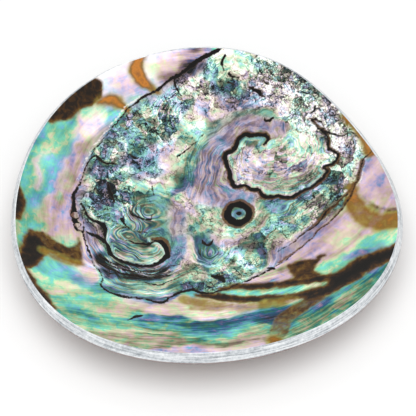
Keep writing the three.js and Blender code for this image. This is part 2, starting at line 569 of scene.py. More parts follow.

# %% [markdown]
# Just outside the edge of the scar, on its left side and by the slot on its right, a thin white line is
# painted: a painted highlight along a low fold there. It is drawn in the same way as the lines.

# %% Draw the painted ridge highlights
PAINTED_RIDGE_HIGHLIGHTS = [
    [
        (-18, 57.4, 0), (-26, 52.4, 0.2), (-32, 48, 0.25), (-39, 37.9, 0.2), (-46.4, 25.6, 0.2),
        (-50.4, 13, 0),
    ],
    [(60, 5.6, -0.1), (62.4, 8.8, 0.1), (64.8, 15.5, 0)],
    [(27, -24.6, 0), (30, -22.2, 0.1), (34, -18.8, 0)],
]
ridge_highlight = np.full(plan_x.shape, BARE)
for points in PAINTED_RIDGE_HIGHLIGHTS:
    ridge_highlight = lay_line(ridge_highlight, points)
print(len(PAINTED_RIDGE_HIGHLIGHTS), "ridges of chalk")

# %% [markdown]
# ## Windows of old skin in the margin
#
# Outside the scar the dark skin lies at a slant, so polishing opened it in broad patches: golden at the
# thin edge, brown, then nearly black where it is thick. Closed outlines draw the broad ones and thick
# strokes the long ones. Each starts with the greatest depth that it reaches, in mm. A shallow one stays
# golden or brown, and one whose depth is less than 0 stays under clear nacre and only tints it.

# %% Draw the broad windows
PATCHES = {
    "far_left": (1.3, [
        (-63, 36), (-57, 36.8), (-52.5, 40.5), (-48.5, 44.3), (-43.5, 46.8), (-41.6, 50), (-41.4, 54),
        (-45, 56.5), (-55, 53),
    ]),
    "left_band": (0.6, [
        (-66.5, -14.6), (-60, -15.4), (-55.5, -18), (-52, -19.4), (-49.5, -18), (-48.4, -13.6),
        (-46.6, -25.2), (-52, -25.4), (-58, -23.4), (-65, -19.6),
    ]),
    "left_low": (2.2, [
        (-67.4, -18), (-64.5, -16), (-61, -17.6), (-59.4, -22.6), (-60.6, -27.6), (-62.6, -31),
        (-65.4, -33.4), (-69.5, -33), (-69.6, -26),
    ]),
    "blob_right": (0.9, [
        (33.2, -23.4), (39, -22.8), (45.4, -22.8), (43.6, -26), (43.4, -28.6), (46, -31), (37, -31.6),
        (35.4, -28.5),
    ]),
    "big_band": (4, [
        (44, -31), (50, -31), (54, -29.4), (57.5, -26.6), (63, -24.6), (69, -23.8), (77, -22.6),
        (74, -29.6), (68, -31.2), (62, -33.6), (56, -37), (50, -40), (46, -42.6), (40, -43.2), (38, -41),
        (43, -38.4), (47, -36), (47, -33.4),
    ]),
}
print(len(PATCHES), "broad windows")

# %% [markdown]
# The long windows are strokes, like a brush drawn along a line. Some are so shallow that the light
# comes back through them golden or orange, and these are kept apart, because they take their own
# colours.

# %% Draw the long windows
# The greatest depth, then x, y and half width along the stroke.
STROKES = {
    "left_rim": (3, [(-73, 4, 1.0), (-72.2, -3, 3.0), (-71.6, -10, 1.8)]),
    "streak_upper": (1.6, [
        (7, -33.8, 0.7), (14, -32.8, 1.5), (24, -33.4, 1.6), (34, -33, 1.8), (46, -32.6, 1.8),
    ]),
    "streak_lower": (2.2, [
        (-2, -36.6, 0.9), (6, -37.4, 2.0), (14, -39.4, 1.6), (26, -40, 1.8), (36, -39.8, 2.0),
        (45, -39, 2.4),
    ]),
    "near_band": (0.05, [
        (44, -42, 2.2), (39, -44.6, 2.2), (34.6, -47.6, 2.4), (31, -51.6, 2.8), (28.4, -56, 3.2),
        (27.4, -60, 3.0), (27, -63, 1.6),
    ]),
    "crescent_shade": (-0.3, [
        (61.6, 8, 0.2), (62.6, 2, 0.8), (65.4, -3, 1.0), (70, -6.6, 0.9), (76, -8, 0.6),
    ]),
    "rim_left": (1.5, [(-66.5, -33, 0.9), (-62.6, -40, 1.5), (-58.8, -45.4, 1.9), (-54.5, -50.4, 0.8)]),
    "tick_above_band": (0.6, [(45, -22, 0.4), (48, -21.4, 0.7)]),
}
GOLD_STROKES = {
    "gold_tail": (1.3, [
        (-43.5, 46.8, 0.6), (-40.5, 48.8, 1.6), (-37, 49.4, 2.1), (-34, 48.2, 1.8), (-31, 46.4, 0.8),
    ]),
    "orange_hook": (1.3, [
        (-26.6, 69.8, 2.4), (-27.4, 65.5, 2.2), (-27.6, 61.4, 2.7), (-25.2, 58.8, 2.3), (-21.8, 57, 1.2),
        (-19, 55.2, 0.4),
    ]),
    "near_orange": (0.7, [(25.6, -62.2, 1.6), (27.4, -65.5, 2.2)]),
    "right_crescent": (0.35, [
        (59.4, 7.4, 1.4), (60, 0.6, 2.5), (62.3, -5.2, 3.0), (66.6, -9.8, 3.0), (71.8, -12.2, 2.8),
        (78, -12.8, 2.6),
    ]),
    "right_rim": (0.7, [(58, 37, 0.9), (62.4, 31, 1.2), (65.6, 25, 1.4), (67.4, 20, 2.2)]),
    "streak_gold": (-0.4, [
        (-4, -43.4, 0.3), (6, -43.6, 0.7), (15, -44, 0.9), (24, -42.8, 1.1), (34, -41.4, 1.0),
    ]),
    "olive_patch": (-0.1, [(-8, -38.8, 1.0), (-3, -40.2, 1.6), (4, -41.6, 1.3), (11, -42.4, 0.7)]),
    "band_edge_left": (-0.1, [
        (-61, -22.6, 0.5), (-55.6, -24.8, 0.9), (-50, -26, 0.9), (-46.6, -25.6, 0.4),
    ]),
}
print(len(STROKES), "brown strokes and", len(GOLD_STROKES), "golden ones")

# %% [markdown]
# What the material needs is one depth for the brown windows and one for the golden ones. Inside a
# closed outline the depth is the distance to the outline, up to the greatest one, so every window has a
# flat, dark middle.

# %% Measure the depth of the windows
MARGIN_REACH = 10
window = np.full(plan_x.shape, BARE)
gold = np.full(plan_x.shape, BARE)
for deepest, points in PATCHES.values():
    outline = smooth_line(points, closed=True)
    gap, _ = nearest_on(outline, line_x, line_y, MARGIN_REACH)
    depth = np.where(inside(outline, line_x, line_y), gap, -gap)
    window = np.maximum(window, np.minimum(depth, deepest))
for deepest, points in STROKES.values():
    window = lay_line(window, points, deepest, MARGIN_REACH)
for deepest, points in GOLD_STROKES.values():
    gold = lay_line(gold, points, deepest, MARGIN_REACH)
print("windows cover", round(100 * (np.maximum(window, gold) > 0).mean()), "% of the inside")

# %% [markdown]
# ## Growth lines
#
# In the scar the sheets end in lines that run round whatever stood in their way, like contours on a
# map: round the island, the eye, the lobe and a few swirls, and along the scar's edge. Their height is
# a mix of the distances to those shores, and where two shores meet the mix is eased, so that no line
# has a corner.

# %% Heights for the growth lines of the scar
SWIRLS = [
    (-23, 3.5), (3, -16), (33, 4), (-27, 32), (-8, 49), (10, 62), (22, -21), (-40, 33), (-33, 12), (28, 44),
]
# How far out the eye's shore lies, and over how many mm the shores and the swirls are eased together.
EYE_SHORE, SHORE_SOFT, SWIRL_SOFT = 6, 6, 4
# How much of the height comes from the inner shores and how much from the scar's edge.
SHORE_SHARE, EDGE_SHARE = 0.65, 0.35
# The same for a heart line and the line round it, and how deep inside they have taken over.
HEART_SHARE, RIM_SHARE, HEART_FULL = 0.6, 0.3, 2.5
CONTOUR_WAVES = [(0.9, 11), (0.35, 3.4)]


def nearer(a, b, soft):
    """The lesser of two distances, eased over so many mm where they are alike."""
    t = np.clip(0.5 + 0.5 * (b - a) / soft, 0, 1)
    return b + (a - b) * t - soft * t * (1 - t)


inner_shore = nearer(island_gap, lobe_gap, SHORE_SOFT)
inner_shore = nearer(inner_shore, np.abs(eye_gap - EYE_SHORE), SHORE_SOFT)
for x, y in SWIRLS:
    inner_shore = nearer(inner_shore, np.hypot(line_x - x, line_y - y), SWIRL_SOFT)
contour = SHORE_SHARE * inner_shore - EDGE_SHARE * edge_gap

# Inside the island and the lobe the lines open round a short heart line near the top.
for gap, within, heart in (
    (island_gap, in_island, [(26, 29), (35, 31)]),
    (lobe_gap, in_lobe, [(-33, -8), (-20, -12)]),
):
    heart_gap, _ = nearest_on(np.array(heart, float), line_x, line_y)
    depth = np.where(within, gap, 0)
    opened = HEART_SHARE * heart_gap - RIM_SHARE * gap
    contour += (opened - contour) * ease(depth, 0, HEART_FULL)
contour = shifted(contour, CONTOUR_WAVES, 11)
print("growth lines reach", round(float(contour.max() - contour.min()), 1), "mm across the scar")

# %% [markdown]
# In the margin the lines follow the rim on the left, and sweep across in long flat curves on the near
# side. One listed curve gives the sweep, and the two heights are mixed by how near a place is to the
# near right.

# %% Heights for the growth lines of the margin
FLAT_CURVE = [
    (-78, 4), (-60, 1.8), (-45, 0.8), (-27, 0), (0, -0.8), (25, 3), (38, 8), (50, 15.5), (62, 24), (78, 37),
]
# The sweep's heights are raised by so many mm, so that they meet those counted from the rim.
SWEEP_RAISED = 30
# The near right is where NEAR_SLANT * x - y is great. It begins and is full at these values.
NEAR_SLANT, NEAR_BEGINS, NEAR_FULL = 0.55, -5, 25
MARGIN_WAVES = [(0.8, 16), (0.3, 6)]
from_rim = rim_radius(inner_angle) * (1 - inner_share)
flat_curve = smooth_line(FLAT_CURVE)
above_curve = plan_y - np.interp(plan_x, flat_curve[:, 0], flat_curve[:, 1])
above_curve += SWEEP_RAISED
to_near_side = ease(NEAR_SLANT * plan_x - plan_y, NEAR_BEGINS, NEAR_FULL)
margin_line = from_rim + (above_curve - from_rim) * to_near_side
margin_line = shifted(margin_line, MARGIN_WAVES, 13)
growth = np.where(in_scar, contour, margin_line)
print("growth lines reach", round(float(np.ptp(margin_line)), 1), "mm across the margin")

# %% [markdown]
# The lines are strong in some stretches and hardly show in others. Each stretch says how strongly lined
# it is, how far that reaches in mm, and the line that it lies along, and every place takes the mean of
# the stretches near it.

# %% How strongly lined the shell is
LINED = [
    (0.14, 8, [(-66, 0), (-62, 25), (-50, 42)]),
    (0.28, 5, [(-53, 0), (-47, 24), (-38, 38)]),
    (0.12, 6, [(-44, 54), (-20, 62)]),
    (0.2, 7, [(-58, -32), (-40, -40), (-14, -42)]),
    (0.35, 6, [(-52, -48), (-34, -54)]),
    (0.7, 8, [(-20, -52), (0, -56), (25, -52)]),
    (0.5, 5, [(-30, -62), (0, -66), (20, -63)]),
    (0.5, 6, [(36, -55), (52, -46), (68, -34)]),
    (0.15, 8, [(42, -14), (56, -14), (66, -20)]),
    (0.04, 6, [(66, 10), (70, -4)]),
    (0.55, 8, [(-2, 12), (2, 34), (20, 45)]),
    (0.12, 8, [(18, 28), (32, 20), (44, 26)]),
    (0.75, 7, [(-24, 5), (-18, -2)]),
    (0.9, 5, [(-34, -10), (-28, -17), (-17, -14)]),
    (1.3, 4, [(-38, -22), (-26, -26), (-14, -26)]),
    (0.9, 5, [(-34, -33), (-14, -36)]),
    (0.5, 8, [(-8, 2), (-8, -16)]),
    (0.8, 6, [(3, -16), (22, -18)]),
    (0.5, 8, [(12, -10), (30, -8)]),
    (0.7, 7, [(34, 3), (50, 6)]),
    (0.6, 9, [(56, 22), (44, 46), (26, 58), (6, 62)]),
    (0.5, 9, [(-12, 50), (-32, 36), (-42, 14)]),
]
FAINT = 1e-4


def share_at(gap, reach):
    """How much a stretch counts at a distance: fully on its line, and next to nothing past its reach."""
    return np.exp(-((gap / reach) ** 2)) + FAINT / (1 + gap)


lined = np.zeros(plan_x.shape)
lined_weight = np.zeros(plan_x.shape)
for strength, reach, points in LINED:
    gap, _ = nearest_on(np.array(points, float), plan_x, plan_y)
    share = share_at(gap, reach)
    lined += share * strength
    lined_weight += share
lined /= lined_weight
print(len(LINED), "stretches with lines")

# %% [markdown]
# Fine growth lines fill the island and the lobe, a few swirls and the lip. Here the strongest stretch
# wins, so they end quickly outside their places.

# %% Where the lines are fine
ISLAND_FINE, LOBE_FINE = 0.6, 0.7
# Strength, reach in mm, and the line that the stretch lies along.
FINE = [
    (1.5, 5, [(-30, 2), (-24, -1)]), (1.6, 2.6, [(-38, -23), (-26, -26.6), (-14, -25.6)]),
    (0.8, 3, [(-34, -34), (-14, -37)]), (0.8, 4, [(0, -15), (6, -16)]), (0.8, 5, [(-16, 48), (-12, 46)]),
    (0.6, 5, [(36, 4), (44, 2)]), (0.5, 7, [(4, 32), (6, 18)]),
]
fine_growth = np.where(in_island, ISLAND_FINE * ease(island_gap, 0.8, 2), 0)
fine_growth += np.where(in_lobe, LOBE_FINE, 0)
for strength, reach, points in FINE:
    gap, _ = nearest_on(np.array(points, float), plan_x, plan_y)
    fine_growth = np.maximum(fine_growth, strength * np.exp(-((gap / reach) ** 2)))
print(len(FINE), "stretches with fine lines")

# %% [markdown]
# ## Colour washes
#
# Nacre has no pigment. Its colours come from the thickness of its sheets, and they drift in one order:
# pink, lilac, blue, cyan, mint, lime, peach and pink again. A wash says where in that order a stretch
# of shell is, how pale it is, how crumpled, how far the wash reaches in mm, and the line that it lies
# along. Neighbouring washes run together like wet paint. The margin is the calmest part: pink and mint
# on the left, from the far end round to the near side.

# %% Washes of the left margin
PINK, LILAC, BLUE, CYAN, MINT, LIME, PEACH = [i / 7 for i in range(7)]
# Hue, paleness, how crumpled, reach in mm, and the line in mm.
LEFT_MARGIN = [
    # This first wash is pale past the start of glare: pink nacre with a painted highlight on the far left
    # wall.
    (PINK - 0.02, 1.15, 0, 7, [(-44, 57), (-33, 60), (-20, 66)]),
    (CYAN, 1.0, 0, 3.5, [(-42, 54), (-38, 53)]),
    (MINT, 1.0, 0, 3.5, [(-24, 63), (-21, 61)]),
    (PEACH, 0.55, 0, 1.6, [(-18, 69), (-2, 71.5)]),
    (LILAC - 0.05, -1.1, 0, 3.2, [(-15, 62), (-9, 66), (-4, 68.5)]),
    (LIME + 0.02, 0.7, 0, 2, [(-22, 64), (-18, 68)]),
    (LILAC, 0.6, 0, 1.6, [(-8, 70), (0, 71.5)]),
    (PINK, 0.85, 0, 1.6, [(-19, 65), (-12, 69)]),
    (LILAC + 0.05, 0.8, 0, 3, [(-27, 54), (-20, 58)]),
    (PINK, 0.9, 0, 5, [(-35, 52), (-29, 55)]),
    (MINT, 0.95, 0, 2.5, [(-48, 42), (-42, 44)]),
    (PINK - 0.03, 0.95, 0, 4, [(-53, 33), (-44, 41)]),
    (PEACH + 0.05, 0.2, 0, 1.8, [(-46, 28), (-41, 35), (-37, 40)]),
    (MINT - 0.02, 0.36, 0, 5.5, [(-71, -8), (-69, 12), (-65, 26), (-59, 36)]),
    (MINT + 0.03, 0.55, 0, 4, [(-63, 22), (-57, 34)]),
    (BLUE + 0.02, 0.5, 0, 1.8, [(-67, -4), (-64, 10), (-59, 20), (-52, 32)]),
    (LIME + 0.05, 0.65, 0, 1.6, [(-66, 20), (-57, 32)]),
    (PINK, 0.5, 0, 1.2, [(-68, 4), (-66, 14), (-62, 22)]),
    (LILAC, 0.75, 0, 2, [(-63, 6), (-60, 17)]),
    (PINK - 0.05, 0.28, 0, 5, [(-58, 0), (-54, 12), (-50, 24)]),
    (MINT, 0.35, 0, 1.6, [(-59, 2), (-56, 14)]),
    (PEACH, 0.35, 0, 4, [(-62, -8), (-57, -10)]),
    (PINK, 0.5, 0, 4, [(-55, -4), (-53, -12)]),
    (CYAN, 0.55, 0, 3, [(-71, -12), (-69, -20)]),
    (MINT, 0.65, 0, 3, [(-54, -15), (-51, -17)]),
    (LILAC - 0.07, 0.6, 0, 2.5, [(-48, -8), (-45, -20), (-41, -28)]),
    (PINK, 0.7, 0, 4, [(-49, -27), (-43, -30)]),
    (MINT - 0.02, 0.5, 0, 4.5, [(-61, -27), (-48, -31)]),
    (CYAN + 0.05, 0.7, 0, 2.4, [(-57, -28), (-55, -35)]),
    (BLUE, 0.2, 0, 2.8, [(-47, -35), (-39, -37)]),
    (PEACH - 0.05, 0.8, 0, 3, [(-64, -35), (-54, -38), (-48, -39.6)]),
    (MINT - 0.01, 0.6, 0, 6, [(-57, -41), (-38, -42)]),
    (BLUE, 0.4, 0, 2.6, [(-53, -46), (-43, -50)]),
    (MINT + 0.04, 0.5, 0, 4, [(-38, -43), (-26, -44)]),
    (CYAN, 0.24, 0, 4.5, [(-50, -52), (-34, -55), (-18, -55)]),
    (PEACH + 0.03, 0.85, 0, 3.4, [(-27, -41), (-12, -43), (14, -45.6)]),
    (LIME + 0.04, 0.3, 0, 2.6, [(-38, -47.5), (-27, -47)]),
]
print(len(LEFT_MARGIN), "washes")

# %% [markdown]
# The near side tilts towards the light and shows deep cyan, blue and mint in long bands, with peach
# close to the rim. The right side, nearest to the hatching point, is peach and lilac.

# %% Washes of the near and right margins
NEAR_MARGIN = [
    (CYAN, -0.35, 0, 3, [(-22, -51), (2, -52.6), (26, -49)]),
    (BLUE + 0.05, -0.15, 0, 2, [(-10, -52.2), (16, -50.8)]),
    (MINT - 0.02, 0.55, 0, 3.4, [(-18, -56.4), (14, -56)]),
    (LIME, 0.45, 0, 2.4, [(-44, -59), (-18, -60), (8, -59)]),
    (MINT + 0.03, 0.05, 0, 2.2, [(-26, -63), (4, -62.4)]),
    (PEACH - 0.04, 0.25, 0, 2.6, [(8, -60.4), (22, -58.4)]),
    (PEACH, 0.15, 0, 1.8, [(-4, -64), (18, -62)]),
    (PEACH + 0.08, 0.65, 0, 1.6, [(-22, -67), (0, -67.4), (20, -65)]),
    (MINT, -0.08, 0, 4, [(37, -54), (60, -42)]),
    (MINT + 0.05, 0.15, 0, 3, [(33, -58), (50, -50)]),
    (LIME - 0.03, 0.5, 0, 2.2, [(50, -43), (62, -39)]),
    (BLUE + 0.06, 0.2, 0, 2, [(38, -48), (46, -43)]),
    (CYAN + 0.04, 0.15, 0, 2.6, [(60, -35), (70, -31)]),
    (PINK + 0.03, 0.45, 0, 2.6, [(22, -29), (34, -27)]),
    (LILAC, 0.5, 0, 2, [(20, -31.4), (30, -30)]),
    (MINT + 0.02, 0.75, 0, 1.6, [(9, -36), (24, -37), (46, -34.4)]),
]
RIGHT_MARGIN = [
    (PEACH + 0.08, 0.45, 0, 7, [(36, -20), (50, -12), (60, -6)]),
    (LILAC - 0.04, 0.6, 0, 2.4, [(40, -17), (46, -13)]),
    (PEACH, 0.65, 0, 4, [(44, -20), (52, -22)]),
    (MINT + 0.07, 0.68, 0, 3.5, [(52, -28), (58, -18), (70, -19)]),
    (BLUE, 0.2, 0, 1.6, [(56, -25), (66, -22.5), (74, -21)]),
    (PINK + 0.05, 0.22, 0, 3, [(31, -19), (46, -7.5)]),
    (PEACH + 0.06, 0.5, 0, 3, [(64, 4), (66, -3), (72, -7)]),
    (LILAC - 0.07, 0.45, 0, 4.5, [(66, 13), (72, 6), (74, 0)]),
]
print(len(NEAR_MARGIN + RIGHT_MARGIN), "washes")

# %% [markdown]
# The scar is crumpled on its left and far sides. The third number says how much: from 0 where it is
# calm to more than 1 where it is broken into crumbs.

# %% Washes of the scar's left and far sides
CRUMPLED = [
    (BLUE + 0.06, 0.3, 0.8, 5, [(-36, 42), (-38, 34)]),
    (LIME, 0.7, 0.9, 3.5, [(-40, 29), (-34, 31)]),
    (BLUE, 0.48, 0.4, 3.2, [(-28, 34), (-26, 30)]),
    (CYAN, -0.02, 0.9, 6, [(-43, 21), (-39, 14), (-42, 4)]),
    (MINT - 0.04, 0.78, 0.9, 5, [(-32, 20), (-31, 8)]),
    (LILAC - 0.03, 0.3, 0.7, 4, [(-31, 25), (-22, 23)]),
    (LIME - 0.02, 1.1, 0.5, 2.4, [(-30, 17), (-28, 15)]),
    (LIME + 0.05, 0.9, 0.9, 2, [(-47, 14), (-46, 16)]),
    (MINT, 0.45, 0.6, 3, [(-38, 1), (-33, -1)]),
    (BLUE, 0.15, 0.5, 2.5, [(-43, 1), (-41, -2)]),
    (LIME - 0.1, 1.05, 0.3, 3, [(-21, 18), (-15, 17)]),
    (LIME, 1.1, 0.3, 3, [(-16, 25), (-8, 27)]),
    (PINK, 0.9, 0.6, 4, [(-19, 31), (-12, 35)]),
    (LIME, 1.1, 0.35, 3.3, [(-7, 36), (-1, 42)]),
    (PEACH + 0.09, 0.88, 0.5, 3.5, [(-4, 46), (2, 50), (8, 46)]),
    (CYAN + 0.06, 0.56, 0.9, 7, [(-28, 45), (-14, 42), (-14, 52)]),
    (PEACH + 0.03, 0.85, 0.9, 4, [(-10, 61), (0, 58)]),
    (MINT - 0.04, 0.95, 0.8, 4, [(0, 66), (4, 62)]),
    (LIME + 0.04, 1.1, 0.4, 4, [(10, 67), (16, 66)]),
    (CYAN, 0.35, 0.7, 3, [(4, 57), (12, 58)]),
    (PINK + 0.04, 0.6, 0.7, 4, [(8, 53), (18, 51)]),
    (PEACH - 0.02, 0.95, 1.2, 5, [(22, 62), (28, 58), (36, 49)]),
    (LIME - 0.02, 0.4, 1.5, 5, [(32, 61), (44, 50), (54, 38)]),
    (LIME + 0.05, 1.1, 1.3, 4, [(38, 46), (46, 40)]),
]
print(len(CRUMPLED), "washes")

# %% [markdown]
# Round the island the scar is calm again, with a mint stream over a lilac ground. The island itself is
# pale and pink, like a window into the sheets below.

# %% Washes of the middle and the island
CALM_MIDDLE = [
    (MINT - 0.03, 0.35, 0.1, 2.6, [(-9, 19), (-5, 31), (5, 42), (18, 47), (31, 45)]),
    (CYAN - 0.04, 0.22, 0.2, 2.2, [(-9, 14), (-7, 26)]),
    (LILAC - 0.07, 0.12, 0.05, 5, [(4, 36), (4, 22), (5, 12)]),
    (LILAC + 0.06, 0.25, 0.05, 3, [(1, 22), (3, 14)]),
    (PINK + 0.03, 0.3, 0.1, 4, [(10, 42), (26, 41), (32, 36)]),
    (LILAC, 0.8, 0.2, 2.2, [(-3, 14), (-1, 12)]),
    (PEACH + 0.04, 1.0, 0.5, 3, [(-6, 8), (-2, 6)]),
    (PINK, 0.25, 0.1, 4, [(-12, 2), (-8, -6)]),
    (MINT, 0.55, 0.4, 3, [(1, 8), (6, 2)]),
    (BLUE - 0.05, 0.3, 0.1, 3, [(10, 12), (16, 10)]),
    (CYAN - 0.02, -0.05, 0, 2, [(12.5, 3.3), (16.5, 3.3)]),
]
ISLAND_INSIDE = [
    (PINK - 0.05, 0.85, 0.5, 5, [(14, 28), (18, 22)]),
    (MINT, -0.05, 0.1, 2.6, [(17, 35), (23, 34)]),
    (LIME + 0.06, 0.5, 0.5, 2.6, [(26, 31), (33, 30)]),
    (MINT + 0.03, 0.7, 0.3, 2.4, [(38, 32), (40, 30)]),
    (PINK - 0.05, 0.35, 0.5, 5, [(26, 24), (36, 22), (40, 18)]),
    (PEACH + 0.04, 0.3, 0.25, 3.4, [(20, 18), (30, 13), (44, 17)]),
    (LIME + 0.1, 0.95, 0.5, 3, [(45, 30), (50, 23)]),
]
print(len(CALM_MIDDLE + ISLAND_INSIDE), "washes")

# %% [markdown]
# The near and right sides of the scar are half crumpled, and the lobes and the lip at the near left are
# finely lined, so their washes are narrow and follow the lines.

# %% Washes of the near side, the lobes and the lip
NEAR_SCAR = [
    (CYAN + 0.06, 0.4, 0.3, 4, [(30, 5), (36, 1)]),
    (BLUE + 0.06, 0.3, 0.7, 3, [(43, 9), (50, 8)]),
    (CYAN + 0.05, 0.28, 0.8, 4, [(54, 14), (59, 20)]),
    (LIME - 0.05, 0.95, 1.2, 4, [(58, 26), (62, 20)]),
    (LIME, 0.75, 1.1, 3, [(56, 8), (62, 12)]),
    (MINT, 0.25, 0.9, 4, [(44, 2), (52, 3)]),
    (MINT + 0.02, 0.55, 0.8, 4, [(36, -4), (42, -3)]),
    (LIME + 0.08, 0.45, 0.3, 4, [(20, 5), (25, -2)]),
    (PINK - 0.02, 0.22, 0.3, 3, [(8, -9), (20, -12)]),
    (MINT + 0.03, 0.45, 0.4, 3, [(8, -5), (14, -6), (22, -7)]),
    (LIME - 0.02, 0.78, 0.6, 4, [(27, -6), (30, -12)]),
    (MINT - 0.02, 0.7, 0.5, 4, [(14, -17), (24, -16)]),
    (CYAN - 0.03, -0.15, 0.1, 4, [(2, -14), (4, -20)]),
    (BLUE + 0.06, 0.2, 0.2, 2.8, [(-9, -12), (-11, -20)]),
    (MINT - 0.03, 0.5, 0.3, 3.4, [(-7, -6), (-2, -1)]),
    (MINT + 0.02, 0.62, 0.8, 4, [(8, -23), (20, -26)]),
    (CYAN, 0.45, 0.8, 3.5, [(0, -31), (10, -31)]),
    (PEACH, 0.5, 0.5, 2.6, [(-6, -22), (-2, -26)]),
    (PEACH + 0.07, 0.75, 0.1, 1.6, [(-5, -12), (-6, -18)]),
]
LOBES_AND_LIP = [
    (MINT - 0.04, 0.25, 0.1, 6, [(-24, 8), (-17, 2), (-22, -3)]),
    (CYAN - 0.06, 0.12, 0.1, 2.6, [(-27, -5), (-20, -6)]),
    (CYAN + 0.05, 0.5, 0.2, 3, [(-37, -7), (-35, -14)]),
    (LIME + 0.0, -0.2, 0.1, 3, [(-29, -10.5), (-23, -12)]),
    (CYAN + 0.08, 0.45, 0.1, 3, [(-33, -18), (-25, -19), (-19, -16), (-19, -13)]),
    (LIME, 0.7, 0, 1.2, [(-18, -12), (-17.4, -16), (-21, -18.6)]),
    (BLUE - 0.04, -0.35, 0.2, 2.8, [(-40, -22), (-30, -26), (-17, -25.6)]),
    (MINT - 0.02, 0.65, 0.1, 2.1, [(-34, -32), (-24, -33), (-14, -34)]),
    (LIME - 0.02, 0.5, 0.1, 2.4, [(-12, -31), (-5, -28)]),
    (BLUE + 0.02, 0.05, 0.1, 2.1, [(-37, -36), (-26, -37.8), (-15, -39), (-12, -35)]),
    (PEACH - 0.04, 0.1, 0.3, 3, [(-44, -6), (-43, -11)]),
    (MINT, 0.6, 0, 1.4, [(-40.5, -25.5), (-37.5, -28)]),
    (PINK + 0.01, 0.9, 0, 2.2, [(-45, -15), (-42.5, -18)]),
]
print(len(NEAR_SCAR + LOBES_AND_LIP), "washes")

# %% [markdown]
# Mixing is a mean of the washes near each place. Hues lie on a ring, so a mean of their numbers would
# be wrong where pink meets peach. Each hue is taken as a direction instead, and the directions are
# added. The island and the lobe also get a thin pale green lining along their inner side.

# %% Mix the washes
SCAR_DARKER = 0.1
LINING = 1.1
LINING_PALENESS = 0.75
ISLAND_LINING, LOBE_LINING = 1.9, 1.6
WASHES = LEFT_MARGIN + NEAR_MARGIN + RIGHT_MARGIN + CRUMPLED + CALM_MIDDLE + ISLAND_INSIDE + NEAR_SCAR
WASHES += LOBES_AND_LIP


def direction(hue):
    """The direction of a hue on the colour wheel, as two numbers."""
    return np.cos(2 * np.pi * hue), np.sin(2 * np.pi * hue)


hue_x, hue_y, pale, crumple, weight = np.zeros((5, len(plan_x)))
for hue, paleness, crumpling, reach, points in WASHES:
    gap, _ = nearest_on(np.array(points, float), wash_x, wash_y, reach=4 * reach)
    share = share_at(gap, reach)
    hue_x += share * direction(hue)[0]
    hue_y += share * direction(hue)[1]
    pale += share * paleness
    crumple += share * crumpling
    weight += share
pale = pale / weight - SCAR_DARKER * in_scar
hue_x /= weight
hue_y /= weight
crumple = crumple / weight * ease(scar, -0.5, 1.5)

for within, gap, half in ((in_island, island_gap, ISLAND_LINING), (in_lobe, lobe_gap, LOBE_LINING)):
    lining = np.where(within, ease(LINING - np.abs(gap - half), 0, LINING), 0)
    pale += lining * (LINING_PALENESS - pale)
    hue_x += lining * (direction(MINT)[0] - hue_x)
    hue_y += lining * (direction(MINT)[1] - hue_y)
print(len(WASHES), "washes mixed")

# %% [markdown]
# ## Relief
#
# Polishing leaves the inside smooth but not flat. The margin swells a little along its growth lines,
# the scar stands slightly proud and is dented like beaten foil where it is crumpled, the sheets end in
# low steps, and the old skin, softer than nacre, is worn a little lower. All of it is real height, in
# mm, on the fine grid.

# %% Work out the relief
# How far apart the sheets end, and heights: the proud scar, its dents, a sheet's step, the margin's swell.
SHEET_STEP = 1.6
PROUD, DENT, STEP, SWELL = 0.25, 0.3, 0.06, 0.12
# How much lower the old skin is worn in the lines and in the windows.
LINE_WORN, WINDOW_WORN = 0.14, 0.1
sheet = contour / SHEET_STEP
stepped = np.floor(sheet) + ease(sheet - np.floor(sheet), 0.7, 1.0)
dents = hills(wash_x, wash_y, 4.4, 21) - np.abs(hills(wash_x, wash_y, 2.8, 22))
dents -= 0.5 * np.abs(hills(wash_x, wash_y, 1.5, 23))
swell = hills(4 * np.cos(inner_angle), margin_line, 5, 24) + 0.7 * hills(plan_x, plan_y, 22, 25)
relief = PROUD * ease(scar, -0.2, 1.2) + DENT * dents * crumple
relief += STEP * (stepped % 3 - 1) * lined * ease(scar, 0, 1)
relief += SWELL * swell * (1 - ease(scar, -2, 0))
relief -= LINE_WORN * ease(ink, -0.2, 0.5) + WINDOW_WORN * ease(window, -0.5, 1.5)
relief *= ease(from_rim, 0.2, 2.5)
print("relief from", round(float(relief.min()), 2), "to", round(float(relief.max()), 2), "mm")

# %% [markdown]
# ## Rim and underside
#
# The rim is a flat face ground across the wall, with its two edges just broken, and low ridges along it
# where the harder sheets of the wall stand out. The underside keeps the folds that the shell grew, in
# arcs about the point where it hatched, and it is worn flat where it rests.

# %% Points of the rim and of the underside
RIM_ROWS = 9
RIM_BULGE, RIM_SQUARENESS = 0.5, 0.5
LAYER_HEIGHT, LAYER_WIDTH = 0.07, 0.35
# x and y of the point where the shell hatched, which was trimmed away.
HATCHING_POINT = (52, 60)
FOLD_HEIGHT, FOLD_SPACING = 0.5, 13
FOLD_WAVES = ((1.2, 14), (0.5, 5))
RIDGE_HEIGHT, RIDGE_SPACING = 0.22, 1.7
LUMP_HEIGHT, LUMP_SIZE = 0.18, 3


def outer_point(angle, share):
    """Distance out and height of the underside, with its growth folds."""
    out, height = inner_point(angle, share)
    along_out, along_up = wall_direction(angle, share)
    x, y = out * np.cos(angle), out * np.sin(angle)
    away = np.hypot(x - HATCHING_POINT[0], y - HATCHING_POINT[1])
    for seed, (height_of_wave, size) in zip((31, 32), FOLD_WAVES):
        away = away + height_of_wave * hills(x, y, size, seed)
    folds = FOLD_HEIGHT * np.cos(2 * np.pi * away / FOLD_SPACING) * ease(share, 0.3, 0.5)
    ridges = RIDGE_HEIGHT * (1 - np.abs(hills(away, 0 * away, RIDGE_SPACING, 33)))
    ridges = ridges + LUMP_HEIGHT * hills(x, y, LUMP_SIZE, 34)
    fold = (folds + ridges * ease(share, 0.12, 0.3)) * (1 - ease(share, 0.86, 0.98))
    depth = wall_thickness(angle, share) + fold
    return out + along_up * depth, np.maximum(height - along_out * depth, 0)


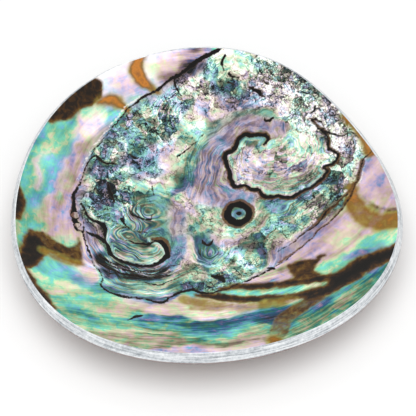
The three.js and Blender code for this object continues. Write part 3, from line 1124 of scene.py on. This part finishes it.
def rim_row(angle, turn):
    """A row of the rim: turn runs from 0 at the outer edge to pi at the inner edge."""
    across = (1 - np.sign(np.cos(turn)) * np.abs(np.cos(turn)) ** RIM_SQUARENESS) / 2
    inner = np.stack(inner_point(angle, np.ones_like(angle)))
    outer = np.stack(outer_point(angle, np.ones_like(angle)))
    along = np.stack(wall_direction(angle, np.ones_like(angle)))
    layers = LAYER_HEIGHT * hills(3 * across + 0 * angle, 12 * np.cos(angle), LAYER_WIDTH, 35)
    bulge = RIM_BULGE * np.sin(turn) ** RIM_SQUARENESS + layers * np.sin(turn)
    return outer + (inner - outer) * across + along * bulge, across


def inner_place(angle, share, lift):
    """Places of the inner surface, lifted off it by so many mm."""
    out, height = inner_point(angle, share)
    along_out, along_up = wall_direction(angle, share)
    return round_the_dish(angle, out - along_up * lift, height + along_out * lift)


outer_angle, outer_share, outer_faces, outer_ring = disc_grid(OUTER_CELLS)
ring_angle = inner_angle[inner_ring]
places = [inner_place(inner_angle, inner_share, relief)]
across_rim = [np.ones(len(inner_angle))]
for turn in np.linspace(np.pi, 0, RIM_ROWS + 1)[1:-1]:
    (out, height), across = rim_row(ring_angle, turn)
    places.append(round_the_dish(ring_angle, out, height))
    across_rim.append(np.full(len(ring_angle), across))
places.append(round_the_dish(outer_angle, *outer_point(outer_angle, outer_share)))
across_rim.append(np.zeros(len(outer_angle)))
print("rows of the rim", len(places) - 2, "with", len(ring_angle), "points each")

# %% [markdown]
# ## One closed skin
#
# The rows of points are joined by four-sided faces. The underside needs half as many points as the
# inside, so the last strip goes from two points on the rim to one on the underside, with three
# triangles to each stretch.

# %% Join the points into one mesh
starts = np.cumsum([0] + [len(p) for p in places])
rings = [inner_ring] + [starts[i] + np.arange(len(ring_angle)) for i in range(1, RIM_ROWS)]
outer_ring = starts[-2] + outer_ring

inner_skin = inner_faces.tolist()
rim_skin = []
for upper, lower in zip(rings, rings[1:]):
    rim_skin += np.stack([upper, lower, np.roll(lower, -1), np.roll(upper, -1)], axis=-1).tolist()
fine = rings[-1]
for i, (here, there) in enumerate(zip(outer_ring, np.roll(outer_ring, -1))):
    first, middle, last = fine[2 * i], fine[2 * i + 1], fine[(2 * i + 2) % len(fine)]
    rim_skin += [[first, here, middle], [middle, here, there], [middle, there, last]]
outer_skin = (starts[-2] + outer_faces[:, ::-1]).tolist()

skin = bpy.data.meshes.new("abalone_shell")
skin.from_pydata((np.vstack(places) * MM).tolist(), [], inner_skin + rim_skin + outer_skin)
skin.validate()
shell = bpy.data.objects.new("abalone_shell", skin)
bpy.context.scene.collection.objects.link(shell)
skin.polygons.foreach_set("use_smooth", [True] * len(skin.polygons))
which = [0] * len(inner_skin) + [1] * len(rim_skin) + [2] * len(outer_skin)
skin.polygons.foreach_set("material_index", which)
triangles = sum(len(p.vertices) - 2 for p in skin.polygons)
print("one skin of", len(skin.vertices), "points and", triangles, "triangles")

# %% [markdown]
# ## Handing the drawing to the materials
#
# Each point carries what was measured there, in mm, and the nodes turn it into colour. Most of the
# numbers travel three together, as vectors, and two travel alone: how far across the rim a point is,
# and how near the line of a painted ridge highlight. Outside the inner surface every vector is 0,
# because the other two materials don't read them.

# %% Store the measurements on the points
def store(name, first, second, third):
    """Keeps three measurements of the inner surface on the points, and 0 elsewhere."""
    values = np.zeros((len(skin.vertices), 3), np.float32)
    values[: len(plan_x)] = np.stack([first, second, third], axis=-1)
    skin.attributes.new(name, "FLOAT_VECTOR", "POINT").data.foreach_set("vector", values.ravel())


store("tint", hue_x, hue_y, pale)
store("old_skin", ink, window, gold)
store("sheets", scar, crumple, growth)
store("accents", fringe, lined, fine_growth)
painted_ridge_highlight = np.full(len(skin.vertices), BARE)
painted_ridge_highlight[: len(plan_x)] = ridge_highlight
for name, values in (("across_rim", np.concatenate(across_rim)), ("painted_ridge_highlight", painted_ridge_highlight)):
    skin.attributes.new(name, "FLOAT", "POINT").data.foreach_set("value", values.astype(np.float32))
print("stored", [a.name for a in skin.attributes if not a.name.startswith(".")])

# %% [markdown]
# ## Mother-of-pearl
#
# Nacre is aragonite in sheets half a thousandth of a mm thick, glued with a little protein. It was
# ground and then polished, so it is smooth, and light comes back from many sheets at once: pale where
# they lie flat, deep where they tilt away. One ramp holds the deep colours and one the pale ones, both
# in the order that thin sheets give. Every pattern below is a vector of shifts about the washes: its
# first part makes the nacre paler, its second moves it along the order of hues, and its third softens
# the edges of the old skin.

# %% Start the nacre: places, measurements and waver
MATH, VECTOR, MIX, RANGE = "ShaderNodeMath", "ShaderNodeVectorMath", "ShaderNodeMix", "ShaderNodeMapRange"
NOISE, CELLS, RAMP = "ShaderNodeTexNoise", "ShaderNodeTexVoronoi", "ShaderNodeValToRGB"
SPLIT, JOIN = "ShaderNodeSeparateXYZ", "ShaderNodeCombineXYZ"
# A noise's colour lies about a half, so taking this away leaves shifts about 0.
HALF = (0.5, 0.5, 0.5)
# A map range reads from its socket 1 to 2, and gives from its socket 3 to 4. Both are 0 to 1 unless set.


def start_material(name):
    """Makes a material. Returns it, its node tree, its shader and the place in mm for its patterns."""
    material = bpy.data.materials.new(name)
    material.use_nodes = True
    tree = material.node_tree
    on_shell = add(tree, "ShaderNodeTexCoord").outputs["Object"]
    place_in_mm = add(tree, VECTOR, {0: on_shell, "Scale": 1 / MM}, operation="SCALE")
    return material, tree, tree.nodes["Principled BSDF"], place_in_mm


nacre, t, nacre_shader, place = start_material("polished_mother_of_pearl")
plan_place = add(t, SPLIT, {0: place}).outputs
tint, old_skin, sheets, accents = [
    add(t, SPLIT, {0: add(t, "ShaderNodeAttribute", attribute_name=name).outputs["Vector"]}).outputs
    for name in ("tint", "old_skin", "sheets", "accents")
]
crumple_here, growth_here = sheets[1], sheets[2]
lined_here, fine_here = accents[1], accents[2]

WAVER_SIZE = 4.5
WAVER = 2.2
waver = add(t, NOISE, {"Vector": place, "Scale": 1 / WAVER_SIZE, "Detail": 2, "Roughness": 0.5})
waver = add(t, VECTOR, {0: waver.outputs["Color"], 1: HALF}, operation="SUBTRACT")
wavered = add(t, VECTOR, {0: waver, 1: (WAVER, WAVER, WAVER), 2: place}, operation="MULTIPLY_ADD")
print("nacre starts with", len(t.nodes), "nodes")

# %% [markdown]
# The sheets come to the surface in lines that run along the growth. A noise that changes fast across
# the growth and slowly along it draws them at four widths: soft folds, bands, lines and fine threads.
# Each noise has independent channels, so a line shifts paleness and hue by different amounts, which is
# what makes nacre shimmer.

# %% Folds, bands, lines and threads along the growth
FOLD_WIDE, FOLD_LONG = 9, 30
BAND_WIDE, BAND_LONG = 3.4, 26
LINE_WIDE, LINE_LONG = 1.3, 15
THREAD_WIDE, THREAD_LONG = 0.48, 6


def along_growth(width, length, detail, distortion):
    """Shifts about 0 whose features are so many mm wide across the growth and so many mm long."""
    across_growth = add(t, MATH, {0: growth_here, 1: 1 / width}, operation="MULTIPLY")
    along_x = add(t, MATH, {0: plan_place[0], 1: 1 / length}, operation="MULTIPLY")
    along_y = add(t, MATH, {0: plan_place[1], 1: 1 / length}, operation="MULTIPLY")
    stretched = add(t, JOIN, {0: across_growth, 1: along_x, 2: along_y})
    noise = add(t, NOISE, {"Vector": stretched, "Scale": 1, "Detail": detail, "Distortion": distortion})
    return add(t, VECTOR, {0: noise.outputs["Color"], 1: HALF}, operation="SUBTRACT")


fold = along_growth(FOLD_WIDE, FOLD_LONG, 2, 0.6)
band = along_growth(BAND_WIDE, BAND_LONG, 2, 0.3)
line = along_growth(LINE_WIDE, LINE_LONG, 2, 0.3)
thread = along_growth(THREAD_WIDE, THREAD_LONG, 1, 0.2)
print("bands", BAND_WIDE, "mm wide, lines", LINE_WIDE, "mm, threads", THREAD_WIDE, "mm")

# %% [markdown]
# The patterns are weighed and added. Bands, lines and threads count where the shell is lined, and the
# threads again where it is finely lined. Soft folds and clouds lie everywhere, and they also soften the
# edges of the windows.

# %% Add up the calm patterns
CLOUD = 6.0
# How far each one shifts paleness, hue and the edges of the old skin.
BAND_SHIFT, LINE_SHIFT, THREAD_SHIFT = (1.5, 0.5, 0), (2.0, 0.95, 0), (1.2, 0.5, 0)
FINE_SHIFT = (1.9, 1.7, 0)
FOLD_SHIFT, CLOUD_SHIFT = (1.3, 0.9, 1.6), (0.75, 0.45, 2.4)
lines = add(t, VECTOR, {0: band, 1: BAND_SHIFT}, operation="MULTIPLY")
lines = add(t, VECTOR, {0: line, 1: LINE_SHIFT, 2: lines}, operation="MULTIPLY_ADD")
lines = add(t, VECTOR, {0: thread, 1: THREAD_SHIFT, 2: lines}, operation="MULTIPLY_ADD")
lines = add(t, VECTOR, {0: lines, "Scale": lined_here}, operation="SCALE")
fine_lines = add(t, VECTOR, {0: thread, 1: FINE_SHIFT}, operation="MULTIPLY")
fine_lines = add(t, VECTOR, {0: fine_lines, "Scale": fine_here}, operation="SCALE")
lines = add(t, VECTOR, {0: lines, 1: fine_lines}, operation="ADD")
cloud = add(t, NOISE, {"Vector": wavered, "Scale": 1 / CLOUD, "Detail": 3, "Roughness": 0.6})
cloud = add(t, VECTOR, {0: cloud.outputs["Color"], 1: HALF}, operation="SUBTRACT")
soft = add(t, VECTOR, {0: fold, 1: FOLD_SHIFT}, operation="MULTIPLY")
soft = add(t, VECTOR, {0: cloud, 1: CLOUD_SHIFT, 2: soft}, operation="MULTIPLY_ADD")
shift = add(t, VECTOR, {0: lines, 1: soft}, operation="ADD")
print("folds", FOLD_WIDE, "mm wide, clouds", CLOUD, "mm")

# %% [markdown]
# Where the scar is crumpled it breaks into facets a few mm across, each tilted its own way. Cells with
# a random colour each make them: the colour gives each facet its own hue, and a paleness that is painted
# light, bright or dark as its tilt would catch the light, and a fade across its width that is painted
# shading. A marbling lies over the facets, and a bend beforehand keeps their edges from being straight.

# %% Facets of the scar, with painted light and painted shading
BEND_SIZE, BEND = 3.4, 2.4
FACET, MARBLE = 5.6, 3.4
# How far out from a facet's middle its painted shading changes sign, as a share of its size.
FACET_TURN = 0.4
bend = add(t, NOISE, {"Vector": place, "Scale": 1 / BEND_SIZE, "Detail": 2, "Roughness": 0.5})
bend = add(t, VECTOR, {0: bend.outputs["Color"], 1: HALF}, operation="SUBTRACT")
bent = add(t, VECTOR, {0: bend, 1: (BEND, BEND, BEND), 2: place}, operation="MULTIPLY_ADD")
facets = add(t, CELLS, {"Vector": bent, "Scale": 1 / FACET})
facet_hue_and_painted_light = add(t, VECTOR, {0: facets.outputs["Color"], 1: HALF}, operation="SUBTRACT")
from_middle = add(t, MATH, {0: facets.outputs["Distance"], 1: FACET_TURN}, operation="SUBTRACT")
one_way_or_other = add(t, SPLIT, {0: facet_hue_and_painted_light}).outputs[2]
painted_facet_shading = add(t, MATH, {0: one_way_or_other, 1: from_middle}, operation="MULTIPLY")
marble_noise = {"Vector": bent, "Scale": 1 / MARBLE, "Detail": 3, "Roughness": 0.6, "Distortion": 0.6}
marble = add(t, NOISE, marble_noise)
marble = add(t, VECTOR, {0: marble.outputs["Color"], 1: HALF}, operation="SUBTRACT")
print("facets", FACET, "mm, marbling", MARBLE, "mm")

# %% [markdown]
# Crumbs a mm or two across glitter between the facets, a painted glitter that brightens or darkens each
# cell, and take over where the scar is most broken up. They are smaller cells, with painted shade as dark
# outlines from the distance to the nearest edge.

# %% Crumbs with painted glitter and painted shade at their outlines
CRUMB = 1.5
CRUMB_SHIFT = (0.9, 0.5, 0)
# How wide an outline is, as a share of the crumb, and how it shifts paleness: painted shade at the edge,
# and a little lift inside.
OUTLINE, PAINTED_SHADE_AT_EDGE, IN_CRUMB = 0.14, -0.85, 0.12
# How crumpled the scar is where crumbs begin and where they are strongest, and how strong they are at each.
CRUMBS_BEGIN, CRUMBS_FULL, FEWEST, MOST = 0.6, 1.4, 0.2, 0.9
crumbs = add(t, CELLS, {"Vector": bent, "Scale": 1 / CRUMB})
crumb_hue_and_painted_glitter = add(t, VECTOR, {0: crumbs.outputs["Color"], 1: HALF}, operation="SUBTRACT")
edges = add(t, CELLS, {"Vector": bent, "Scale": 1 / CRUMB}, feature="DISTANCE_TO_EDGE")
painted_edge_shade = {0: edges.outputs["Distance"], 1: 0, 2: OUTLINE, 3: PAINTED_SHADE_AT_EDGE, 4: IN_CRUMB}
painted_edge_shade = add(t, JOIN, {0: add(t, RANGE, painted_edge_shade, interpolation_type="SMOOTHSTEP")})
crumb_hue_and_painted_glitter = add(t, VECTOR, {0: crumb_hue_and_painted_glitter, 1: CRUMB_SHIFT, 2: painted_edge_shade}, operation="MULTIPLY_ADD")
crumbly = add(t, RANGE, {0: crumple_here, 1: CRUMBS_BEGIN, 2: CRUMBS_FULL, 3: FEWEST, 4: MOST})
crumb_hue_and_painted_glitter = add(t, VECTOR, {0: crumb_hue_and_painted_glitter, "Scale": crumbly}, operation="SCALE")
print("crumbs", CRUMB, "mm")

# %% [markdown]
# Dark creases of painted shade and bright ridges of painted highlight wander over them all, where a
# smooth noise passes through its middle value. All of it is scaled by how crumpled the shell is, so it
# ends at the scar's edge. The same marbling makes calm nacre shimmer too, mostly in hue.

# %% Painted crease shade and ridge highlights, and the sum of the crumpled patterns
CREASE, CREASE_HALF = 6.5, 0.018
# How each channel of the noise shifts paleness where it creases: painted shade in two dark creases and a
# painted highlight on a bright ridge.
PAINTED_CREASE_LIGHT = [(0, -1.5), (1, 0.8), (2, -1.2)]
# Facets shift hue and paleness; their paleness is painted light, and their fade is painted shading.
FACET_SHIFT, MARBLE_SHIFT, PAINTED_SHADING_SHIFT = (1.15, 0.6, 0), (1.0, 0.6, 0), (3.6, 0, 0)
SHIMMER_SHIFT = (0.25, 0.75, 0)
crumpled_hue_and_painted_light = add(t, VECTOR, {0: facet_hue_and_painted_light, 1: FACET_SHIFT}, operation="MULTIPLY")
crumpled_hue_and_painted_light = add(t, VECTOR, {0: crumpled_hue_and_painted_light, 1: crumb_hue_and_painted_glitter}, operation="ADD")
crumpled_hue_and_painted_light = add(t, VECTOR, {0: marble, 1: MARBLE_SHIFT, 2: crumpled_hue_and_painted_light}, operation="MULTIPLY_ADD")
painted_facet_shading = add(t, JOIN, {0: painted_facet_shading})
crumpled_hue_and_painted_light = add(t, VECTOR, {0: painted_facet_shading, 1: PAINTED_SHADING_SHIFT, 2: crumpled_hue_and_painted_light}, operation="MULTIPLY_ADD")
creases = add(t, NOISE, {"Vector": bent, "Scale": 1 / CREASE, "Detail": 3, "Roughness": 0.6})
creases = add(t, VECTOR, {0: creases.outputs["Color"], 1: HALF}, operation="SUBTRACT")
crease_channels = add(t, SPLIT, {0: creases}).outputs
for channel, painted_light_in_crease in PAINTED_CREASE_LIGHT:
    off_crease = add(t, MATH, {0: crease_channels[channel]}, operation="ABSOLUTE")
    painted_crease_light = {0: off_crease, 1: 0, 2: CREASE_HALF, 3: painted_light_in_crease, 4: 0}
    painted_crease_light = add(t, JOIN, {0: add(t, RANGE, painted_crease_light, interpolation_type="SMOOTHSTEP")})
    crumpled_hue_and_painted_light = add(t, VECTOR, {0: crumpled_hue_and_painted_light, 1: painted_crease_light}, operation="ADD")
at_most_full = add(t, RANGE, {0: crumple_here})
crumpled_hue_and_painted_light = add(t, VECTOR, {0: crumpled_hue_and_painted_light, "Scale": at_most_full}, operation="SCALE")
shift = add(t, VECTOR, {0: shift, 1: crumpled_hue_and_painted_light}, operation="ADD")
shift = add(t, VECTOR, {0: marble, 1: SHIMMER_SHIFT, 2: shift}, operation="MULTIPLY_ADD")
print("creases", CREASE, "mm apart")

# %% [markdown]
# Paleness and hue are now added up, each from its wash and its shift, and the two ramps turn them into
# colour: one for nacre that lies flat and one for nacre that tilts away.

# %% Turn hue and paleness into colour
# The paleness at which shade begins and is full, and the same for glare. Below, nacre turns near-black
# teal: partly its own deep colour, partly painted shade from the creases and crumb edges. Above, it turns
# white: a painted highlight.
SHADE_BEGINS, SHADE_FULL = 0.05, -0.75
GLARE_BEGINS, GLARE_FULL = 0.95, 1.4
shifts = add(t, SPLIT, {0: shift}).outputs
paleness = add(t, MATH, {0: tint[2], 1: shifts[0]}, operation="ADD")
wheel = add(t, MATH, {0: tint[1], 1: tint[0]}, operation="ARCTAN2")
hue = add(t, MATH, {0: wheel, 1: 1 / (2 * np.pi), 2: shifts[1]}, operation="MULTIPLY_ADD")
hue = add(t, MATH, {0: hue}, operation="FRACT")

DEEP_SHEEN = [
    (0.0, "#927a86"), (0.143, "#716c8e"), (0.286, "#3f5f84"), (0.429, "#2f686e"), (0.571, "#467a64"),
    (0.714, "#737d60"), (0.857, "#877768"), (1.0, "#927a86"),
]
PALE_SHEEN = [
    (0.0, "#f6dce9"), (0.143, "#d9d2f2"), (0.286, "#a6cff0"), (0.429, "#98e6e0"), (0.571, "#a8efca"),
    (0.714, "#e6f4cc"), (0.857, "#f6e4d4"), (1.0, "#f6dce9"),
]
deep = add(t, RAMP, {0: hue}, stops=DEEP_SHEEN)
light = add(t, RAMP, {0: hue}, stops=PALE_SHEEN)
lightness = add(t, RANGE, {0: paleness})
sheen = add(t, MIX, {"Factor": lightness, "A": deep, "B": light}, data_type="RGBA")
# Shade: the nacre's own deep colour together with painted shade from creases and crumb edges.
in_dark_and_painted_shade = add(t, RANGE, {0: paleness, 1: SHADE_BEGINS, 2: SHADE_FULL})
sheen = add(t, MIX, {"Factor": in_dark_and_painted_shade, "A": sheen, "B": linear("#0e1618")}, data_type="RGBA")
# Glare is a painted highlight: paleness past its start is mixed with white.
in_painted_glare = add(t, RANGE, {0: paleness, 1: GLARE_BEGINS, 2: GLARE_FULL})
sheen = add(t, MIX, {"Factor": in_painted_glare, "A": sheen, "B": linear("#ffffff")}, data_type="RGBA")
print("colours of nacre, deep and pale:", len(DEEP_SHEEN), "stops each")

# %% [markdown]
# The colours are strongest in the margin. Facets and crumbs send back more white light, so theirs are
# greyer. Where washes of opposite hues meet, the direction is short, and the colour fades through grey
# from one to the other.

# %% Set how strong the colours are
MARGIN_STRENGTH, SCAR_STRENGTH, CRUMBS_WEAKEN = 1.25, 0.98, -0.36
UNSURE, SURE, UNSURE_STRENGTH = 0.05, 0.6, 0.3
scar_mask = add(t, RANGE, {0: sheets[0], 1: -0.4, 2: 0.4}, interpolation_type="SMOOTHSTEP")
strength = add(t, RANGE, {0: scar_mask, 3: MARGIN_STRENGTH, 4: SCAR_STRENGTH})
strength = add(t, MATH, {0: crumbly, 1: CRUMBS_WEAKEN, 2: strength}, operation="MULTIPLY_ADD")
hue_direction = add(t, JOIN, {0: tint[0], 1: tint[1]})
certainty = add(t, VECTOR, {0: hue_direction}, operation="LENGTH").outputs["Value"]
certainty = add(t, RANGE, {0: certainty, 1: UNSURE, 2: SURE, 3: UNSURE_STRENGTH})
strength = add(t, MATH, {0: strength, 1: certainty}, operation="MULTIPLY")
sheen = add(t, "ShaderNodeHueSaturation", {"Saturation": strength, "Color": sheen.outputs[2]})
print("strength of colour", MARGIN_STRENGTH, "in the margin and", SCAR_STRENGTH, "in the scar")

# %% [markdown]
# ## Old skin under the nacre
#
# The dried brown skin is translucent like horn. Where nacre still covers its edge it glows gold, then
# it turns brown and black as it gets thicker. The windows are soft because they slope. A ramp along the
# depth gives their colour, and the marbling mottles it, so that no window is one flat brown.

# %% Brown and golden windows
# How much the marbling, and for gold the clouds, change the depth that picks the colour.
WINDOW_MOTTLE, GOLD_MOTTLE, GOLD_CLOUD = 4.5, 2.0, 2.5
WINDOW_COLOURS = [(0, "#7c8048"), (0.2, "#6c5020"), (0.42, "#4a3014"), (0.65, "#241a12"), (1, "#13110e")]
GOLD_COLOURS = [
    (0, "#a6a04a"), (0.22, "#947a2c"), (0.45, "#80591a"), (0.68, "#c07614"), (0.86, "#94590e"),
    (1, "#6a5014"),
]
mottle = add(t, SPLIT, {0: marble}).outputs[2]
patchy = add(t, SPLIT, {0: cloud}).outputs[0]
window_depth = add(t, MATH, {0: old_skin[1], 1: shifts[2]}, operation="ADD")
window_tone = add(t, MATH, {0: mottle, 1: WINDOW_MOTTLE, 2: window_depth}, operation="MULTIPLY_ADD")
window_tone = add(t, RANGE, {0: window_tone, 1: -0.8, 2: 2.8})
window_colour = add(t, RAMP, {0: window_tone}, stops=WINDOW_COLOURS)
window_cover = add(t, RANGE, {0: window_depth, 1: -1.2, 2: 0.45}, interpolation_type="SMOOTHSTEP")
gold_depth = add(t, MATH, {0: old_skin[2], 1: shifts[2]}, operation="ADD")
gold_tone = add(t, MATH, {0: mottle, 1: GOLD_MOTTLE, 2: old_skin[2]}, operation="MULTIPLY_ADD")
gold_tone = add(t, MATH, {0: patchy, 1: GOLD_CLOUD, 2: gold_tone}, operation="MULTIPLY_ADD")
gold_tone = add(t, RANGE, {0: gold_tone, 1: -1.2, 2: 2.4})
gold_colour = add(t, RAMP, {0: gold_tone}, stops=GOLD_COLOURS)
gold_cover = add(t, RANGE, {0: gold_depth, 1: -2.2, 2: 0.5, 4: 0.97}, interpolation_type="SMOOTHSTEP")
print("windows go through", len(WINDOW_COLOURS), "browns and", len(GOLD_COLOURS), "golds")

# %% [markdown]
# The lines are crisp because the sheets there stand on edge, but a fine grain leaves their edges
# ragged. The fringe is ragged by as much and the painted ridge highlight by more.

# %% Ink, fringe and painted ridge highlight
GRAIN, RAGGED, HIGHLIGHT_RAGGEDNESS = 1.3, 0.22, 1.8
INK_COLOURS = [(0, "#5a4530"), (0.35, "#33261a"), (0.6, "#120e0a"), (1, "#080706")]
grain = add(t, NOISE, {"Vector": place, "Scale": 1 / GRAIN, "Detail": 3, "Roughness": 0.65})
ragged = add(t, RANGE, {0: grain, 1: 0.33, 2: 0.67, 3: -RAGGED, 4: RAGGED})
ink_depth = add(t, MATH, {0: old_skin[0], 1: ragged}, operation="ADD")
ink_tone = add(t, RANGE, {0: ink_depth, 1: -0.3, 2: 0.5})
ink_colour = add(t, RAMP, {0: ink_tone}, stops=INK_COLOURS)
ink_cover = add(t, RANGE, {0: ink_depth, 1: -0.25, 2: 0.12}, interpolation_type="SMOOTHSTEP")
fringe_depth = add(t, MATH, {0: accents[0], 1: ragged}, operation="ADD")
fringe_cover = add(t, RANGE, {0: fringe_depth, 1: -0.3, 2: 0.4, 4: 0.9}, interpolation_type="SMOOTHSTEP")
ridge_highlight_here = add(t, "ShaderNodeAttribute", attribute_name="painted_ridge_highlight").outputs["Fac"]
ridge_highlight_depth = add(t, MATH, {0: ragged, 1: HIGHLIGHT_RAGGEDNESS, 2: ridge_highlight_here}, operation="MULTIPLY_ADD")
ridge_highlight_cover = add(t, RANGE, {0: ridge_highlight_depth, 1: -0.3, 2: 0.3, 4: 0.8}, interpolation_type="SMOOTHSTEP")
print("edges ragged by", RAGGED, "mm")

# %% [markdown]
# Each layer now covers the ones below it, from the windows up to the black lines.

# %% Lay the old skin and the painted ridge highlight over the nacre
colour = sheen.outputs[0]
# The near-white #f1eee6 is the painted ridge highlight; the other layers are old skin.
for cover, paint in (
    (window_cover, window_colour), (gold_cover, gold_colour), (ridge_highlight_cover, linear("#f1eee6")),
    (fringe_cover, linear("#5c3a16")), (ink_cover, ink_colour),
):
    colour = add(t, MIX, {"Factor": cover, "A": colour, "B": paint}, data_type="RGBA")
print("nacre has", len(t.nodes), "nodes so far")

# %% [markdown]
# Polish makes nacre glossy with a clear depth, so a thin coat carries the sharp glints while the body
# under it is softer. The creases and growth lines are felt as bumps a few hundredths of a mm high.

# %% Finish the nacre's shader
BUMP = 0.05
SMOOTH, CRUMPLED_ROUGH = 0.24, 0.32
bump = add(t, "ShaderNodeBump", {"Strength": 0.5, "Distance": BUMP * MM, "Height": shifts[0]})
rough = add(t, RANGE, {0: crumple_here, 3: SMOOTH, 4: CRUMPLED_ROUGH})
t.links.new(colour.outputs[2], nacre_shader.inputs["Base Color"])
t.links.new(rough.outputs[0], nacre_shader.inputs["Roughness"])
t.links.new(bump.outputs[0], nacre_shader.inputs["Normal"])
nacre_shader.inputs["IOR"].default_value = 1.45
nacre_shader.inputs["Specular IOR Level"].default_value = 0.22
nacre_shader.inputs["Coat Weight"].default_value = 0.1
nacre_shader.inputs["Coat Roughness"].default_value = 0.06
print("bumps", BUMP, "mm high")

# %% [markdown]
# ## Ground rim
#
# The rim shows the wall in section: many thin sheets of nacre and chalky shell, ground with a fine
# wheel and left matt. It looks like brushed silver-grey stone, with pale and dark threads that run
# along it, and a brick-red thread on the outside where the outer layer begins.

# %% Make the ground rim
# Threads 15 mm long. Nine of them across a wall about 4 mm thick make each about 0.4 mm wide.
THREAD_LENGTH, THREADS_ACROSS = 15, 9
# Specks of chalk in mm, how much they count beside the threads, and what is taken off both.
SPECK, SPECKS_COUNT, DARKER = 1.6, 1.1, 0.32
# How deep the marks of the wheel are, in mm.
GRINDING_MARKS = 0.1
ground_rim, t, rim_shader, place = start_material("ground_shell_wall")
across_the_rim = add(t, "ShaderNodeAttribute", attribute_name="across_rim").outputs["Fac"]
along_rim = add(t, VECTOR, {0: place, "Scale": 1 / THREAD_LENGTH}, operation="SCALE")
threads = add(t, JOIN, {2: add(t, MATH, {0: across_the_rim, 1: THREADS_ACROSS}, operation="MULTIPLY")})
threads = add(t, VECTOR, {0: along_rim, 1: threads}, operation="ADD")
layers = add(t, NOISE, {"Vector": threads, "Scale": 1, "Detail": 4, "Roughness": 0.65, "Distortion": 0.2})
specks = add(t, NOISE, {"Vector": place, "Scale": 1 / SPECK, "Detail": 4, "Roughness": 0.75})
wall_tone = add(t, RANGE, {0: layers, 1: 0.3, 2: 0.7, 4: 0.75})
wall_tone = add(t, MATH, {0: specks, 1: SPECKS_COUNT, 2: wall_tone}, operation="MULTIPLY_ADD")
wall_tone = add(t, MATH, {0: wall_tone, 1: DARKER}, operation="SUBTRACT")
wall_colour = add(
    t, RAMP, {0: wall_tone}, stops=[(0, "#62686c"), (0.3, "#959ba0"), (0.55, "#c4c9cd"), (1, "#f4f6f7")]
)
outer_edge = add(t, RANGE, {0: across_the_rim, 1: 0.16, 2: 0.04, 4: 0.9}, interpolation_type="SMOOTHSTEP")
brick_red = linear("#6e4234")
wall_colour = add(t, MIX, {"Factor": outer_edge, "A": wall_colour, "B": brick_red}, data_type="RGBA")
t.links.new(wall_colour.outputs[2], rim_shader.inputs["Base Color"])
rim_bump = add(t, "ShaderNodeBump", {"Strength": 0.6, "Distance": GRINDING_MARKS * MM, "Height": wall_tone})
t.links.new(rim_bump.outputs[0], rim_shader.inputs["Normal"])
rim_shader.inputs["Roughness"].default_value = 0.42
rim_shader.inputs["IOR"].default_value = 1.6
print("ground rim has", len(t.nodes), "nodes")

# %% [markdown]
# ## Outer layer
#
# Underneath, the shell keeps its natural skin: brick red from the seaweed that a red abalone eats, in
# growth bands about the hatching point, rough, with chalky pale patches where other creatures sat on
# it, and rubbed back to a pearly grey on the high folds and where it rests.

# %% Make the outer layer
# How wide the bands are, how far apart they waver and by how much, all in mm.
BAND, BAND_WAVER_SIZE, BAND_WAVER = 3.5, 12, 9
# Blotches in mm, and how much they count beside the bands.
BLOTCH, BLOTCHES_COUNT = 9, 0.5
# Patches of chalk, the ragged edge of the worn spot and how high up it is worn, in mm.
CHALK_PATCH, WORN_EDGE, WORN_UP_TO = 6, 4, 1.6
# How high the bumps of the rough layer are, in mm.
CRUST_BUMP = 0.25
crust, t, crust_shader, place = start_material("red_outer_shell_layer")
flat = add(t, VECTOR, {0: place, 1: (1, 1, 0)}, operation="MULTIPLY")
away = add(t, VECTOR, {0: flat, 1: (*HATCHING_POINT, 0)}, operation="DISTANCE").outputs["Value"]
band_waver = add(t, NOISE, {"Vector": place, "Scale": 1 / BAND_WAVER_SIZE, "Detail": 3})
away = add(t, MATH, {0: band_waver, 1: BAND_WAVER, 2: away}, operation="MULTIPLY_ADD")
bands = add(t, NOISE, {"W": away, "Scale": 1 / BAND, "Detail": 4, "Roughness": 0.6}, noise_dimensions="1D")
blotches = add(t, NOISE, {"Vector": place, "Scale": 1 / BLOTCH, "Detail": 5, "Roughness": 0.65})
tone = add(t, MATH, {0: blotches, 1: BLOTCHES_COUNT, 2: bands}, operation="MULTIPLY_ADD")
crust_colour = add(
    t, RAMP, {0: add(t, RANGE, {0: tone, 1: 0.45, 2: 1.05})},
    stops=[
        (0, "#2b1815"), (0.3, "#502a22"), (0.5, "#6f4436"), (0.7, "#8a6350"), (0.85, "#97816f"),
        (1, "#8f9384"),
    ],
)
patches = add(t, NOISE, {"Vector": place, "Scale": 1 / CHALK_PATCH, "Detail": 6, "Roughness": 0.75})
patches = add(t, RANGE, {0: patches, 1: 0.6, 2: 0.66, 4: 0.85}, interpolation_type="SMOOTHSTEP")
crust_colour = add(t, MIX, {"Factor": patches, "A": crust_colour, "B": linear("#cfc4b4")}, data_type="RGBA")
up = add(t, SPLIT, {0: place}).outputs[2]
worn_edge = add(t, NOISE, {"Vector": place, "Scale": 1 / WORN_EDGE, "Detail": 4})
worn = add(t, MATH, {0: worn_edge, 1: -WORN_UP_TO, 2: up}, operation="MULTIPLY_ADD")
worn = add(t, RANGE, {0: worn, 1: -0.3, 2: -0.75}, interpolation_type="SMOOTHSTEP")
crust_colour = add(t, MIX, {"Factor": worn, "A": crust_colour, "B": linear("#b4b9b2")}, data_type="RGBA")
crust_rough = add(t, RANGE, {0: worn, 3: 0.78, 4: 0.4})
crust_bump = add(t, "ShaderNodeBump", {"Strength": 0.7, "Distance": CRUST_BUMP * MM, "Height": tone})
t.links.new(crust_colour.outputs[2], crust_shader.inputs["Base Color"])
t.links.new(crust_rough.outputs[0], crust_shader.inputs["Roughness"])
t.links.new(crust_bump.outputs[0], crust_shader.inputs["Normal"])
print("outer layer has", len(t.nodes), "nodes")

# %% [markdown]
# ## Hand over
#
# The skin takes its three materials, stands for the solid and moves with it.

# %% Finish
for material in (nacre, ground_rim, crust):
    skin.materials.append(material)
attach(shell, "root")
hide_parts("shell")
